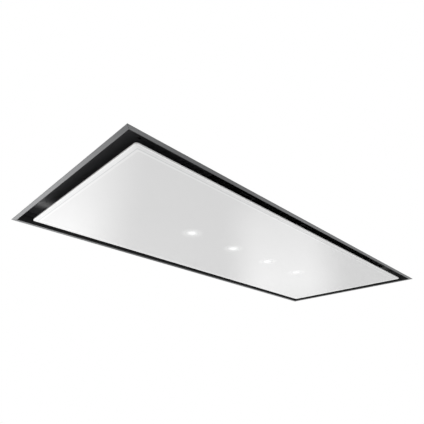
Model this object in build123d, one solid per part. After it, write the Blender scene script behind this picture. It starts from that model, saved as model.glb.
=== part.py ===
from build123d import *
import os
from math import cos, pi, radians, sin

# A ceiling range hood that lies flush in a suspended ceiling.  A glass panel hides the recess and
# leaves a slot all round it for the air.  Behind the panel are three grease filters, and above
# them a blower with two inlets, an outlet for a round duct and a box for the electrics.
# Millimetres, +Z up, +X along the frame.  The origin is the middle of the ceiling frame on the
# ceiling's own face.  The panel is hinged along its rear edge, on the +Y side.

# ---- Ceiling frame ----
FRAME_LENGTH = 1200.0
FRAME_WIDTH = 500.0
FLANGE_THICKNESS = 2.0
FLANGE_OVERLAP = 6.0
FLANGE_ROUND = 0.8
TRIM_SHEET = 1.0
TRIM_UPSTAND = 15.0
TRIM_LAND = 0.5

# ---- Housing above the ceiling ----
HOUSING_SHEET = 1.0
HOUSING_HEIGHT = 118.0
HOUSING_BEND = 4.0
END_FOLD = 12.0
END_FOLD_GAP = 2.75

# ---- Recess tray ----
TRAY_SHEET = 1.25
RECESS_DEPTH = 28.0
FILTER_LEDGE = 26.75
OPENING_UPSTAND = 12.0

# ---- Grease filters ----
FILTER_COUNT = 3
FILTER_WIDTH = 237.6
FILTER_THICKNESS = 10.0
FILTER_FIT = 0.5
FILTER_END_GAP = 4.0
FILTER_BAR = 12.0
FILTER_SKIN = 1.5
GROOVE_DEPTH = 3.0
MESH_FIT = 0.2
MESH_COLUMNS = 3
MESH_ROWS = 4
MESH_STRAND = 8.0
DIVIDER_WIDTH = 4.0
DIVIDER_TAB = 10.0
DIVIDER_TAB_WIDTH = 16.0
DIVIDER_TAB_SHEET = 1.5
REAR_TAB_WIDTH = 20.0
REAR_TAB_REACH = 4.0
REAR_TAB_SHEET = 1.5
REAR_TAB_SPACING = 140.0

# ---- Filter handle and its sliding latch ----
HANDLE_LENGTH = 84.0
HANDLE_WIDTH = 40.0
HANDLE_WALL = 1.5
HANDLE_ROUND = 4.0
LATCH_LENGTH = 60.0
LATCH_WIDTH = 24.0
LATCH_SHEET = 2.5
LATCH_LIP = 6.0
LATCH_FIT = 0.3
LATCH_END_GAP = 0.5
LATCH_TRAVEL = 6.0
BOLT_WIDTH = 20.0
BOLT_GRIP = 3.5
FINGER_LENGTH = 36.0
FINGER_WIDTH = 13.0
FINGER_ROOM = 4.0

# ---- Blower ----
BLOWER_Y = -60.0
IMPELLER_RADIUS = 60.0
IMPELLER_LENGTH = 122.0
IMPELLER_DISC = 3.0
END_RING_LENGTH = 4.0
BLADE_COUNT = 20
BLADE_SHEET = 1.2
BLADE_DEPTH = 11.0
BLADE_LEAN = 9.0
BLADE_BULGE = 2.6
BLADE_EDGE = 0.6
HUB_RADIUS = 12.0
HUB_FRONT = 5.0
HUB_BACK = 15.0
SHAFT_RADIUS = 4.0
SHAFT_FIT = 0.02
SHAFT_RUNNING_GAP = 0.08
SHAFT_END = 3.0
SCROLL_WALL = 1.5
SCROLL_STEP = 9.0
SCROLL_SIDE_GAP = 5.0
CUTOFF_GAP = 6.0
OUTLET_RUN = 79.0
INLET_FLARE = 5.0
THROAT_RADIUS = 49.0
FOOT_GAP = 1.5
FOOT_LENGTH = 70.0
FOOT_WIDTH = 18.0
FOOT_HEIGHT = 10.0
FOOT_INSET = 18.0
MOTOR_RADIUS = 37.0
MOTOR_LENGTH = 60.0
BRACKET_DISC_RADIUS = 30.0
BRACKET_ARM = 14.0
BRACKET_SHEET = 2.0
BRACKET_EDGE = 1.0

# ---- Motor box and air outlet ----
BOX_SHEET = 1.0
BOX_LENGTH = 420.0
BOX_FRONT_GAP = 33.5
BOX_TOP_GAP = 6.5
BOX_FLANGE = 15.0
BOX_RIM = 10.0
LID_LIP = 12.0
FAN_OPENING_MARGIN = 20.0
BRIDGE_MARGIN = 12.5
ADAPTER_LENGTH = 54.0
ADAPTER_FOLDS = 6
COLLAR_RADIUS = 74.5
COLLAR_WALL = 1.5
COLLAR_LENGTH = 85.0
COLLAR_DROP = 92.0
COLLAR_FLANGE = 3.5
COLLAR_FLANGE_SHEET = 2.5
FLAP_SETBACK = 10.0
FLAP_SHEET = 1.2
FLAP_GAP = 0.6
FLAP_AXLE_RADIUS = 1.6
FLAP_AXLE_FIT = 0.05
FLAP_BORE_GAP = 0.1
KNUCKLE_RADIUS = 3.0
KNUCKLE_LENGTH = 60.0
KNUCKLE_CLEAR = 0.4

# ---- Control box ----
CONTROL_GAP = 30.0
CONTROL_LENGTH = 180.0
CONTROL_WIDTH = 200.0
CONTROL_HEIGHT = 42.0
CONTROL_WALL = 2.0
CONTROL_LID = 3.0
CONTROL_LID_STEP = 1.5
CONTROL_LID_FIT = 0.2
BOARD_LENGTH = 150.0
BOARD_WIDTH = 110.0
BOARD_SHEET = 1.6
BOARD_INSET = 6.0
POST_WIDTH = 6.0
POST_HEIGHT = 6.0
RELAY_SIZE = (19.0, 15.0, 16.0)
TRANSFORMER_SIZE = (34.0, 28.0, 20.0)
CAPACITOR_RADIUS = 6.0
CAPACITOR_HEIGHT = 16.0
DRIVER_LENGTH = 90.0
DRIVER_WIDTH = 50.0
DRIVER_HEIGHT = 28.0
TERMINAL_LENGTH = 50.0
TERMINAL_WIDTH = 24.0
TERMINAL_HEIGHT = 18.0
TERMINAL_STEP = 7.0
TERMINAL_WELLS = 5
TERMINAL_WELL_WIDTH = 5.2
TERMINAL_WELL_DEPTH = 5.0
GLAND_BORE = 4.0
GLAND_NECK = 14.0
GLAND_FIT = 0.2
GLAND_HEX = 24.0
GLAND_HEX_LENGTH = 5.0
GLAND_CAP = 20.0
GLAND_LENGTH = 18.0
GLAND_TAIL = 7.0
GLAND_INSET = 35.0

# ---- Ceiling hangers ----
HANGER_END_INSET = 60.0
HANGER_SIDE_INSET = 50.0
HANGER_WIDTH = 30.0
HANGER_SHEET = 2.0
HANGER_FLANGE = 40.0
HANGER_HOLE_RADIUS = 4.5
HANGER_HOLE_REACH = 21.0
HANGER_LOWER_LEG = 87.0
HANGER_UPPER_LEG = 148.0
HANGER_ADJUST = 15.0
HANGER_BOLT_WIDTH = 8.0
HANGER_BOLT_FIT = 0.2
HANGER_BOLT_HEIGHT = 62.0
HEX_WIDTH = 13.0
HEX_HEAD = 5.3
HEX_NUT = 6.5

# ---- Glass panel and its steel carrier ----
SLOT_ENDS = 28.75
SLOT_SIDES = 22.75
PANE_THICKNESS = 4.0
PANE_PROUD = 0.8
PANE_CORNER = 7.0
PANE_BEVEL = 10.0
PANE_BEVEL_DEPTH = 0.9
PANE_BEVEL_CORNER = 2.0
BOND_THICKNESS = 1.0
BOND_WIDTH = 20.0
BOND_INSET = 2.0
CARRIER_INSET = 30.0
CARRIER_SHEET = 1.0
RIB_END_INSET = 82.0
RIB_WIDTH = 44.0
RIB_FOOT = 10.0
RIB_SHEET = 1.5
RIB_HEIGHT = 10.3
RIB_END_GAP = 1.0
WALL_BELOW_RIB = 0.8

# ---- Lamps in the panel ----
LAMP_COUNT = 4
LAMP_PITCH = 158.6
LAMP_RADIUS = 17.0
LAMP_GAP = 0.3
LAMP_SQUARE = 46.0
LAMP_SQUARE_GAP = 0.5
LAMP_BASE = 3.0
FIN_COUNT = 8
FIN_SHEET = 1.6
FIN_HEIGHT = 18.0
LAMP_SOCKET_WIDTH = 12.0
LAMP_SOCKET_DEPTH = 10.0
LAMP_SOCKET_HEIGHT = 8.0

# ---- Hinges and magnetic catches ----
HINGE_SETBACK = 10.0
STRAP_SHEET = 3.0
STRAP_WIDTH = 36.0
STRAP_LENGTH = 100.0
STRAP_NECK = 12.0
BARREL_RADIUS = 5.5
BARREL_LENGTH = 15.0
PIN_RADIUS = 2.5
PIN_EAR_FIT = 0.05
PIN_BARREL_FIT = 0.06
PIN_TAIL = 1.0
EAR_SHEET = 2.5
EAR_RADIUS = 6.5
EAR_GAP = 0.3
EAR_BASE_SHEET = 2.0
EAR_BASE_LENGTH = 34.0
EAR_BASE_FRONT = 18.0
EAR_BASE_REAR = 8.0
STRIKER_LENGTH = 40.0
STRIKER_WIDTH = 18.0
STRIKER_SHEET = 1.5
STRIKER_INSET = 21.0
MAGNET_LENGTH = 46.0
MAGNET_GAP = 0.2
POLE_SHEET = 3.0
POLE_STEP = 1.0

# ---- Lamp wiring ----
CABLE_RADIUS = 2.0
CABLE_SIDES = 6
CABLE_HOLE_GAP = 0.4
LAMP_LEAD_WIDTH = 2.4
CABLE_CLEAR = 1.0
CABLE_RISE = 14.0
CABLE_CREST = 40.0
CABLE_FALL = 50.0
CABLE_DROP_FROM_RIB = 30.0
CABLE_TWIST_FROM_RIB = 50.0
HARNESS_FROM_RIB = 65.0
HARNESS_BESIDE_LAMP = 11.0
HARNESS_NOTCH = 8.0
HARNESS_DIP_START = 38.0
HARNESS_DIP_END = 58.0
CABLE_INTO_BOX = 8.0
CABLE_ENTRY_INSET = 45.0
BEND_AT_DROP = 9.0
BEND_AT_TOP = 12.0
BEND_ON_TOP = 40.0
BEND_AT_PANEL = 9.0
BEND_AT_DIP = 40.0
BEND_AT_LAMPS = 20.0
BEND_AT_LAST_LAMP = 8.0

# ---- Places worked out from the sizes above ----
frame_x = FRAME_LENGTH / 2
frame_y = FRAME_WIDTH / 2
trim_x = frame_x - FLANGE_OVERLAP
trim_y = frame_y - FLANGE_OVERLAP
housing_x = trim_x - TRIM_SHEET
housing_y = trim_y - TRIM_SHEET
tray_x = housing_x - HOUSING_SHEET
tray_y = housing_y - HOUSING_SHEET
recess_x = tray_x - TRAY_SHEET
recess_y = tray_y - TRAY_SHEET
deck_top = RECESS_DEPTH + TRAY_SHEET
housing_top = HOUSING_HEIGHT

filter_cell = FILTER_WIDTH + 2 * FILTER_FIT
filter_pitch = filter_cell + DIVIDER_WIDTH
bank_x = (FILTER_COUNT * filter_pitch - DIVIDER_WIDTH) / 2
opening_x = bank_x + FILTER_END_GAP
opening_y = recess_y - FILTER_LEDGE
filter_y = opening_y - FILTER_FIT
filter_z = (RECESS_DEPTH, RECESS_DEPTH + FILTER_THICKNESS)
window_x = FILTER_WIDTH / 2 - FILTER_BAR
window_y = filter_y - FILTER_BAR
filter_places = [(i - (FILTER_COUNT - 1) / 2) * filter_pitch for i in range(FILTER_COUNT)]
divider_places = [(low + high) / 2 for low, high in zip(filter_places, filter_places[1:])]

handle_y = (-window_y, -window_y + HANDLE_WIDTH)
latch_z = (deck_top + LATCH_FIT, deck_top + LATCH_FIT + LATCH_SHEET)
latch_slot_z = (deck_top, latch_z[1] + LATCH_FIT)
latch_room_front = handle_y[0] + HANDLE_WALL
latch_front = latch_room_front + LATCH_END_GAP
latch_rear = latch_front + LATCH_WIDTH
latch_room_rear = latch_rear + LATCH_TRAVEL + LATCH_END_GAP

# The scroll grows by four quarter turns about the corners of a small square.
scroll_offset = SCROLL_STEP / 2
scroll_first = IMPELLER_RADIUS + CUTOFF_GAP + scroll_offset
scroll_last = scroll_first + 2 * SCROLL_STEP
blower_z = housing_top + FOOT_GAP + SCROLL_WALL + scroll_first + scroll_offset
scroll_x = IMPELLER_LENGTH / 2 + SCROLL_SIDE_GAP
scroll_out_x = scroll_x + SCROLL_WALL
tongue_y = BLOWER_Y - scroll_offset + scroll_first
tongue_z = blower_z - scroll_offset
scroll_top = blower_z + scroll_offset + scroll_last
scroll_front = BLOWER_Y - scroll_offset - (scroll_first + SCROLL_STEP)
mouth_y = tongue_y + OUTLET_RUN
blower_centre = (0, BLOWER_Y, blower_z)

box_x = BOX_LENGTH / 2
box_front = scroll_front - SCROLL_WALL - BOX_FRONT_GAP - BOX_SHEET
box_rear = mouth_y + ADAPTER_LENGTH + BOX_SHEET
box_top = scroll_top + SCROLL_WALL + BOX_TOP_GAP
overall_top = box_top + BOX_SHEET
collar_z = box_top - COLLAR_DROP
collar_end = box_rear + COLLAR_LENGTH
collar_bore = COLLAR_RADIUS - COLLAR_WALL
flap_y = box_rear + FLAP_SETBACK

control_x = (box_x + BOX_FLANGE + CONTROL_GAP, box_x + BOX_FLANGE + CONTROL_GAP + CONTROL_LENGTH)
control_y = CONTROL_WIDTH / 2
control_floor = housing_top + CONTROL_WALL
control_top = housing_top + CONTROL_HEIGHT
board_first_x = control_x[0] + CONTROL_WALL + BOARD_INSET
board_first_y = CONTROL_WALL + BOARD_INSET - control_y
board_x = (board_first_x, board_first_x + BOARD_LENGTH)
board_y = (board_first_y, board_first_y + BOARD_WIDTH)
board_z = control_floor + POST_HEIGHT
parts_y = board_y[1] + BOARD_INSET
terminal_x = board_first_x + DRIVER_LENGTH + BOARD_INSET
gland_x = control_x[1] - GLAND_INSET
gland_z = (control_floor + control_top) / 2
cable_entry_x = control_x[0] + CABLE_ENTRY_INSET
cable_top_z = control_floor + CABLE_RADIUS + CABLE_CLEAR

hanger_x = frame_x - HANGER_END_INSET
hanger_y = frame_y - HANGER_SIDE_INSET
hanger_y_range = (hanger_y - HANGER_WIDTH / 2, hanger_y + HANGER_WIDTH / 2)
hanger_bolt = (hanger_x, hanger_y, housing_top + HANGER_BOLT_HEIGHT)
hanger_hole = HANGER_BOLT_WIDTH + 2 * HANGER_BOLT_FIT

pane_x = recess_x - SLOT_ENDS
pane_y = recess_y - SLOT_SIDES
pane_low = -FLANGE_THICKNESS - PANE_PROUD
pane_high = pane_low + PANE_THICKNESS
carrier_low = pane_high + BOND_THICKNESS
carrier_floor = carrier_low + CARRIER_SHEET
carrier_x = pane_x - CARRIER_INSET
carrier_y = pane_y - CARRIER_INSET
rib_x = carrier_x - RIB_END_INSET
cable_drop_x = CABLE_DROP_FROM_RIB - rib_x
cable_twist_x = CABLE_TWIST_FROM_RIB - rib_x
harness_x = HARNESS_FROM_RIB - rib_x
rib_top = carrier_floor + RIB_HEIGHT
wall_top = rib_top - WALL_BELOW_RIB
lamp_places = [(i - (LAMP_COUNT - 1) / 2) * LAMP_PITCH for i in range(LAMP_COUNT)]
socket_z = pane_high + LAMP_BASE + LAMP_SOCKET_HEIGHT / 2

hinge_y = pane_y - HINGE_SETBACK
hinge_z = rib_top + STRAP_SHEET / 2
striker_y = STRIKER_INSET - (carrier_y - CARRIER_SHEET - RIB_END_GAP)
striker_y_range = (striker_y - STRIKER_WIDTH / 2, striker_y + STRIKER_WIDTH / 2)
striker_top = rib_top + STRIKER_SHEET
hinge_line = (0, hinge_y, hinge_z)
ear_in = BARREL_LENGTH / 2 + EAR_GAP
ear_out = ear_in + EAR_SHEET


def block(x_range, y_range, z_range):
    """A box between two values on each axis."""
    ranges = (x_range, y_range, z_range)
    middle = [(low + high) / 2 for low, high in ranges]
    return Pos(*middle) * Box(*[high - low for low, high in ranges])


def rim(half_x, half_y, width, low, high):
    """A rectangular ring, measured to its outer edges."""
    outline = Rectangle(2 * half_x, 2 * half_y)
    outline -= Rectangle(2 * (half_x - width), 2 * (half_y - width))
    return extrude(Pos(0, 0, low) * outline, amount=high - low)


def turned(outline, origin, along):
    """A turned part: points of (distance along the axis, radius) about the axis."""
    axis = Axis(origin, along)
    plane = Plane(origin=origin, x_dir=along, z_dir=Vector(*along).cross(Vector(0, 0, 1)))
    return revolve(plane * make_face(Polyline(*outline, close=True)), axis=axis)


def across(sketch, low, high, origin=(0, 0, 0)):
    """A sketch in Y and Z about the origin, extruded between two values of X."""
    plane = Plane(origin=origin, x_dir=(0, 1, 0), z_dir=(1, 0, 0))
    return extrude(plane.offset(low) * sketch, amount=high - low)


def tube(points, bends, radius):
    """A cable: straight runs joined by tangent arcs, with a few flat sides to keep it light."""
    path = FilletPolyline(*points, radius=bends)
    start = Plane(origin=path @ 0, z_dir=path % 0)
    return sweep(start * RegularPolygon(radius, CABLE_SIDES), path=path)


# ---- Ceiling frame, housing and tray ----
def trim_frame():
    width = frame_x - recess_x
    flange = rim(frame_x, frame_y, width, -FLANGE_THICKNESS, 0)
    seen = flange.faces().sort_by(Axis.Z)[0].outer_wire().edges()
    flange = fillet(seen, FLANGE_ROUND)
    flange += rim(trim_x, trim_y, trim_x - recess_x, 0, TRIM_LAND)
    return flange + rim(trim_x, trim_y, TRIM_SHEET, TRIM_LAND, TRIM_UPSTAND)


def recess_tray():
    tray = block((-tray_x, tray_x), (-tray_y, tray_y), (TRIM_LAND, deck_top))
    tray -= block((-recess_x, recess_x), (-recess_y, recess_y), (TRIM_LAND, RECESS_DEPTH))
    tray -= block((-opening_x, opening_x), (-opening_y, opening_y), (RECESS_DEPTH, deck_top))
    for side in (-1, 1):
        fold = sorted((side * opening_x, side * (opening_x + TRAY_SHEET)))
        tray += block(fold, (-opening_y, opening_y), (RECESS_DEPTH, deck_top + OPENING_UPSTAND))
    hole = Cylinder(CABLE_RADIUS + CABLE_HOLE_GAP, 4 * TRAY_SHEET)
    return tray - Pos(cable_drop_x, hinge_y, RECESS_DEPTH) * hole


def wrap_outline(inset):
    """The housing's cross-section, with rolled upper corners."""
    half = housing_y - inset
    top = housing_top - inset
    corners = ((-half, TRIM_LAND), (-half, top), (half, top), (half, TRIM_LAND))
    outline = make_face(Polyline(*corners, close=True))
    return fillet(outline.vertices().group_by(Axis.Y)[-1], HOUSING_BEND - inset)


def housing_wrap():
    wrap = across(wrap_outline(0) - wrap_outline(HOUSING_SHEET), -tray_x, tray_x)
    bridge = scroll_out_x + BRIDGE_MARGIN
    for side in (-1, 1):
        opening_x_range = sorted((side * bridge, side * (box_x - FAN_OPENING_MARGIN)))
        opening_y_range = (box_front + BOX_FLANGE, box_rear - BOX_FLANGE)
        wrap -= block(opening_x_range, opening_y_range, (housing_top - 5, housing_top + 5))
    hole = Cylinder(CABLE_RADIUS + CABLE_HOLE_GAP, 4 * HOUSING_SHEET)
    return wrap - Pos(cable_drop_x, hinge_y, housing_top) * hole


def end_panel(side):
    panel = across(wrap_outline(0), tray_x, housing_x)
    fold = across(wrap_outline(HOUSING_SHEET) - wrap_outline(2 * HOUSING_SHEET), tray_x - END_FOLD, tray_x)
    below = deck_top + END_FOLD_GAP
    fold -= block((0, frame_x), (-frame_y, frame_y), (0, below))
    panel += fold
    return panel if side > 0 else mirror(panel, about=Plane.YZ)


# ---- Grease filters ----
def filter_dividers():
    bars = []
    for x in divider_places:
        half = DIVIDER_WIDTH / 2
        bar = block((x - half, x + half), (-opening_y, opening_y), filter_z)
        half = DIVIDER_TAB_WIDTH / 2
        tab_z = (deck_top, deck_top + DIVIDER_TAB_SHEET)
        for y_range in ((-opening_y - DIVIDER_TAB, -opening_y), (opening_y, opening_y + DIVIDER_TAB)):
            bar += block((x - half, x + half), y_range, tab_z)
        bars.append(bar)
    return Compound(children=bars)


def bolt_slot(x):
    half = BOLT_WIDTH / 2 + LATCH_FIT
    return block((x - half, x + half), (-filter_y, latch_room_front), latch_slot_z)


def filter_frame(x):
    half = FILTER_WIDTH / 2
    low, high = filter_z
    frame = block((x - half, x + half), (-filter_y, filter_y), filter_z)
    frame -= block((x - window_x, x + window_x), (-window_y, window_y), filter_z)
    groove_x = window_x + GROOVE_DEPTH
    groove_y = window_y + GROOVE_DEPTH
    groove_z = (low + FILTER_SKIN, high - FILTER_SKIN)
    frame -= block((x - groove_x, x + groove_x), (-groove_y, groove_y), groove_z)
    for tab_x in (x - REAR_TAB_SPACING / 2, x + REAR_TAB_SPACING / 2):
        tab_half = REAR_TAB_WIDTH / 2
        tab_y = (filter_y - FILTER_FIT, filter_y + REAR_TAB_REACH)
        tab_z = (deck_top, deck_top + REAR_TAB_SHEET)
        frame += block((tab_x - tab_half, tab_x + tab_half), tab_y, tab_z)
    return frame - bolt_slot(x)


def filter_mesh(x):
    low, high = filter_z
    reach = GROOVE_DEPTH - MESH_FIT
    half_x = window_x + reach
    half_y = window_y + reach
    cell_x = 2 * window_x / MESH_COLUMNS
    cell_y = 2 * window_y / MESH_ROWS
    diamond = Polygon(
        (cell_x / 2 - MESH_STRAND / 2, 0),
        (0, cell_y / 2 - MESH_STRAND / 2),
        (MESH_STRAND / 2 - cell_x / 2, 0),
        (0, MESH_STRAND / 2 - cell_y / 2),
    )
    notch_top = handle_y[1] + MESH_FIT
    notch = Rectangle(HANDLE_LENGTH + 2 * MESH_FIT, half_y + notch_top)
    outline = Rectangle(2 * half_x, 2 * half_y) - Pos(0, (notch_top - half_y) / 2) * notch
    holes = []
    for row in range(2 * MESH_ROWS - 1):
        y = (row + 1) * cell_y / 2 - window_y
        shift = cell_x / 2 * (row % 2)
        for column in range(MESH_COLUMNS - row % 2):
            hole_x = (column + 0.5) * cell_x - window_x + shift
            beside_handle = abs(hole_x) < (HANDLE_LENGTH + cell_x) / 2
            if not (beside_handle and y < notch_top + cell_y / 2):
                holes.append(Pos(hole_x, y) * diamond)
    slab_low = low + FILTER_SKIN + MESH_FIT
    slab_high = high - FILTER_SKIN - MESH_FIT
    return extrude(Pos(x, 0, slab_low) * (outline - holes), amount=slab_high - slab_low)


def filter_handle(x):
    low, high = filter_z
    half = HANDLE_LENGTH / 2
    handle = block((x - half, x + half), handle_y, filter_z)
    handle = fillet(handle.edges().filter_by(Axis.Z).sort_by(Axis.Y)[-2:], HANDLE_ROUND)
    room_y = (latch_room_front, latch_room_rear)
    half = LATCH_LENGTH / 2 + LATCH_FIT
    handle -= block((x - half, x + half), room_y, latch_slot_z)
    half = LATCH_LENGTH / 2 - LATCH_LIP
    handle -= block((x - half, x + half), room_y, (low, deck_top))
    half = FINGER_LENGTH / 2
    finger_z = (latch_slot_z[1], latch_slot_z[1] + FINGER_ROOM)
    handle -= block((x - half, x + half), room_y, finger_z)
    return handle - bolt_slot(x)


def filter_latch(x):
    half = LATCH_LENGTH / 2
    slider = block((x - half, x + half), (latch_front, latch_rear), latch_z)
    middle = (latch_front + latch_rear) / 2
    window = Rectangle(FINGER_LENGTH, FINGER_WIDTH)
    slider -= extrude(Pos(x, middle, latch_z[0]) * window, amount=LATCH_SHEET)
    half = BOLT_WIDTH / 2
    bolt = block((x - half, x + half), (-opening_y - BOLT_GRIP, latch_front), latch_z)
    return slider + bolt


# ---- Blower ----
def scroll_area(grow):
    """The scroll and its outlet seen along the shaft, in Y and Z."""
    low_centre = (BLOWER_Y - scroll_offset, blower_z - scroll_offset)
    front_centre = (BLOWER_Y - scroll_offset, blower_z + scroll_offset)
    top_centre = (BLOWER_Y + scroll_offset, blower_z + scroll_offset)
    radii = [scroll_first + step * SCROLL_STEP + grow for step in range(3)]
    quarters = (
        CenterArc(low_centre, radii[0], 0, -90),
        CenterArc(front_centre, radii[1], -90, -90),
        CenterArc(top_centre, radii[2], 180, -90),
    )
    roof = Polyline(quarters[2] @ 1, (tongue_y + grow, scroll_top + grow), quarters[0] @ 0)
    spiral = make_face([*quarters, roof])
    outlet_height = scroll_top - tongue_z + 2 * grow
    middle = ((tongue_y + mouth_y) / 2, (scroll_top + tongue_z) / 2)
    return spiral + Pos(*middle) * Rectangle(OUTLET_RUN, outlet_height)


def blower_scroll():
    """The wrapped wall of the scroll, on two feet."""
    inside = scroll_area(0)
    scroll = across(scroll_area(SCROLL_WALL), -scroll_x, scroll_x)
    bottom_y = BLOWER_Y - scroll_offset
    foot_y = (bottom_y - FOOT_LENGTH / 2, bottom_y + FOOT_LENGTH / 2)
    for side in (-1, 1):
        outer = scroll_x - FOOT_INSET
        foot_x = sorted((side * outer, side * (outer - FOOT_WIDTH)))
        scroll += block(foot_x, foot_y, (housing_top, housing_top + FOOT_HEIGHT))
    return scroll - across(inside, -scroll_x, scroll_x)


def scroll_side(side):
    """A side plate of the scroll, with its inlet drawn inward to a throat."""
    throat_x = scroll_out_x - INLET_FLARE
    mouth = THROAT_RADIUS + INLET_FLARE
    flare = (
        (throat_x, THROAT_RADIUS),
        (scroll_out_x, mouth),
        (scroll_x, mouth),
        (throat_x, THROAT_RADIUS + SCROLL_WALL),
    )
    plate = across(scroll_area(SCROLL_WALL), scroll_x, scroll_out_x)
    plate -= across(Circle(mouth), scroll_x, scroll_out_x, blower_centre)
    plate += turned(flare, blower_centre, (1, 0, 0))
    return plate if side > 0 else mirror(plate, about=Plane.YZ)


def polar(radius, angle):
    return (radius * cos(radians(angle)), radius * sin(radians(angle)))


def degrees_for(length, radius):
    """The angle that a short length takes at a radius."""
    return length / radius * 180 / pi


def impeller():
    """Two rings of blades, bent forward, each between the middle disc and an end ring."""
    half = IMPELLER_LENGTH / 2
    tip = IMPELLER_RADIUS - BLADE_EDGE
    root = tip - BLADE_DEPTH
    middle = (tip + root) / 2
    bend = BLADE_LEAN / 2 + degrees_for(BLADE_BULGE, middle)
    inner = [polar(root, 0), polar(middle, bend), polar(tip, BLADE_LEAN)]
    thick = [degrees_for(BLADE_SHEET, radius) for radius in (root, middle, tip)]
    outer = [polar(tip, BLADE_LEAN + thick[2]), polar(middle, bend + thick[1]), polar(root, thick[0])]
    blade = across(make_face(Polyline(*inner, *outer, close=True)), -half, half)
    turn = 360 / BLADE_COUNT
    blades = [Rot(turn * i, 0, 0) * blade for i in range(BLADE_COUNT)]
    edge = RegularPolygon(IMPELLER_RADIUS, 2 * BLADE_COUNT)
    ring_area = edge - RegularPolygon(root - BLADE_EDGE, 2 * BLADE_COUNT)
    flush = half - END_RING_LENGTH
    rings = [across(ring_area, -half, -flush), across(ring_area, flush, half)]
    disc = across(edge, -IMPELLER_DISC / 2, IMPELLER_DISC / 2)
    hub = across(Circle(HUB_RADIUS), -HUB_FRONT, HUB_BACK)
    bore = across(Circle(SHAFT_RADIUS + SHAFT_FIT), -half, half)
    return Pos(*blower_centre) * (disc + blades + rings + hub - bore)


def motor_shaft():
    near_bracket = SHAFT_END - scroll_out_x
    return across(Circle(SHAFT_RADIUS), near_bracket, HUB_BACK + SHAFT_END, blower_centre)


def fan_motor():
    outer = -scroll_out_x
    inner = outer + MOTOR_LENGTH
    bore = SHAFT_RADIUS + SHAFT_RUNNING_GAP
    return across(Circle(MOTOR_RADIUS) - Circle(bore), outer, inner, blower_centre)


def motor_bracket():
    reach = scroll_first - BRACKET_EDGE
    area = RegularPolygon(BRACKET_DISC_RADIUS, 6)
    for angle in (90, 210, 330):
        area += Rot(0, 0, angle) * Pos(reach / 2, 0) * Rectangle(reach, BRACKET_ARM)
    area -= Circle(SHAFT_RADIUS + BRACKET_EDGE)
    return across(area, -scroll_out_x - BRACKET_SHEET, -scroll_out_x, blower_centre)


# ---- Motor box and air outlet ----
def box_area(grow):
    width = box_rear - box_front + 2 * grow
    return Pos(0, (box_front + box_rear) / 2) * Rectangle(2 * (box_x + grow), width)


def box_layer(grow, cut, low, high):
    area = box_area(grow) - box_area(cut)
    return extrude(Pos(0, 0, low) * area, amount=high - low)


def motor_box():
    walls = box_layer(0, -BOX_SHEET, housing_top, box_top)
    walls += box_layer(BOX_FLANGE, -BOX_SHEET, housing_top, housing_top + BOX_SHEET)
    walls += box_layer(0, -BOX_RIM, box_top - BOX_SHEET, box_top)
    outlet = Pos(0, box_rear, collar_z) * Rot(90, 0, 0) * Cylinder(collar_bore, 4 * BOX_SHEET)
    return walls - outlet


def motor_box_lid():
    lid = extrude(Pos(0, 0, box_top) * box_area(BOX_SHEET), amount=BOX_SHEET)
    return lid + box_layer(BOX_SHEET, 0, box_top - LID_LIP, box_top)


def adapter_body(shrink):
    """The blower's square mouth carried to the round outlet in folded flats."""
    half_x = scroll_out_x - shrink
    half_z = (scroll_top - tongue_z) / 2 + SCROLL_WALL - shrink
    mouth_z = (scroll_top + tongue_z) / 2
    signs = ((1, 1), (-1, 1), (-1, -1), (1, -1))
    square = [(x * half_x, mouth_y, mouth_z + z * half_z) for x, z in signs]
    circle = []
    for step in range(4 * ADAPTER_FOLDS):
        x, z = polar(COLLAR_RADIUS - shrink, 90 * step / ADAPTER_FOLDS)
        circle.append((x, box_rear - BOX_SHEET, collar_z + z))
    outlines = [square, circle]
    for corner in range(4):
        first = corner * ADAPTER_FOLDS
        for step in range(first, first + ADAPTER_FOLDS):
            following = circle[(step + 1) % len(circle)]
            outlines.append((square[corner], circle[step], following))
        outlines.append((square[corner], following, square[(corner + 1) % 4]))
    faces = [Face(Wire.make_polygon(outline, close=True)) for outline in outlines]
    return Solid(Shell(faces))


def outlet_adapter():
    return adapter_body(0) - adapter_body(SCROLL_WALL)


def outlet_collar():
    """A round collar on a square flange that is screwed to the box."""
    plane = Plane(origin=(0, box_rear, collar_z), x_dir=(1, 0, 0), z_dir=(0, 1, 0))
    width = 2 * (COLLAR_RADIUS + COLLAR_FLANGE)
    collar = extrude(plane * Rectangle(width, width), amount=COLLAR_FLANGE_SHEET)
    collar += extrude(plane * Circle(COLLAR_RADIUS), amount=COLLAR_LENGTH)
    return collar - extrude(plane * Circle(collar_bore), amount=COLLAR_LENGTH)


def flap_axle():
    length = 2 * (collar_bore - FLAP_AXLE_FIT)
    return Pos(0, flap_y, collar_z) * Cylinder(FLAP_AXLE_RADIUS, length)


def outlet_flap(side):
    """A half disc that turns on its own half of the axle."""
    edge = KNUCKLE_RADIUS + KNUCKLE_CLEAR
    upright = Plane(origin=(0, 0, 0), x_dir=(1, 0, 0), z_dir=(0, -1, 0))
    radius = collar_bore - FLAP_GAP
    place = side * (KNUCKLE_LENGTH + KNUCKLE_CLEAR) / 2
    area = Circle(radius) & Pos(edge + radius / 2, 0) * Rectangle(radius, 2 * radius)
    area += Pos(edge / 2, place) * Rectangle(edge, KNUCKLE_LENGTH)
    flap = extrude(upright * area, amount=FLAP_SHEET / 2, both=True)
    flap += Pos(0, 0, place) * Cylinder(KNUCKLE_RADIUS, KNUCKLE_LENGTH)
    flap -= Cylinder(FLAP_AXLE_RADIUS + FLAP_BORE_GAP, 2 * radius)
    if side < 0:
        flap = mirror(flap, about=Plane.YZ)
    return Pos(0, flap_y, collar_z) * flap


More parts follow.
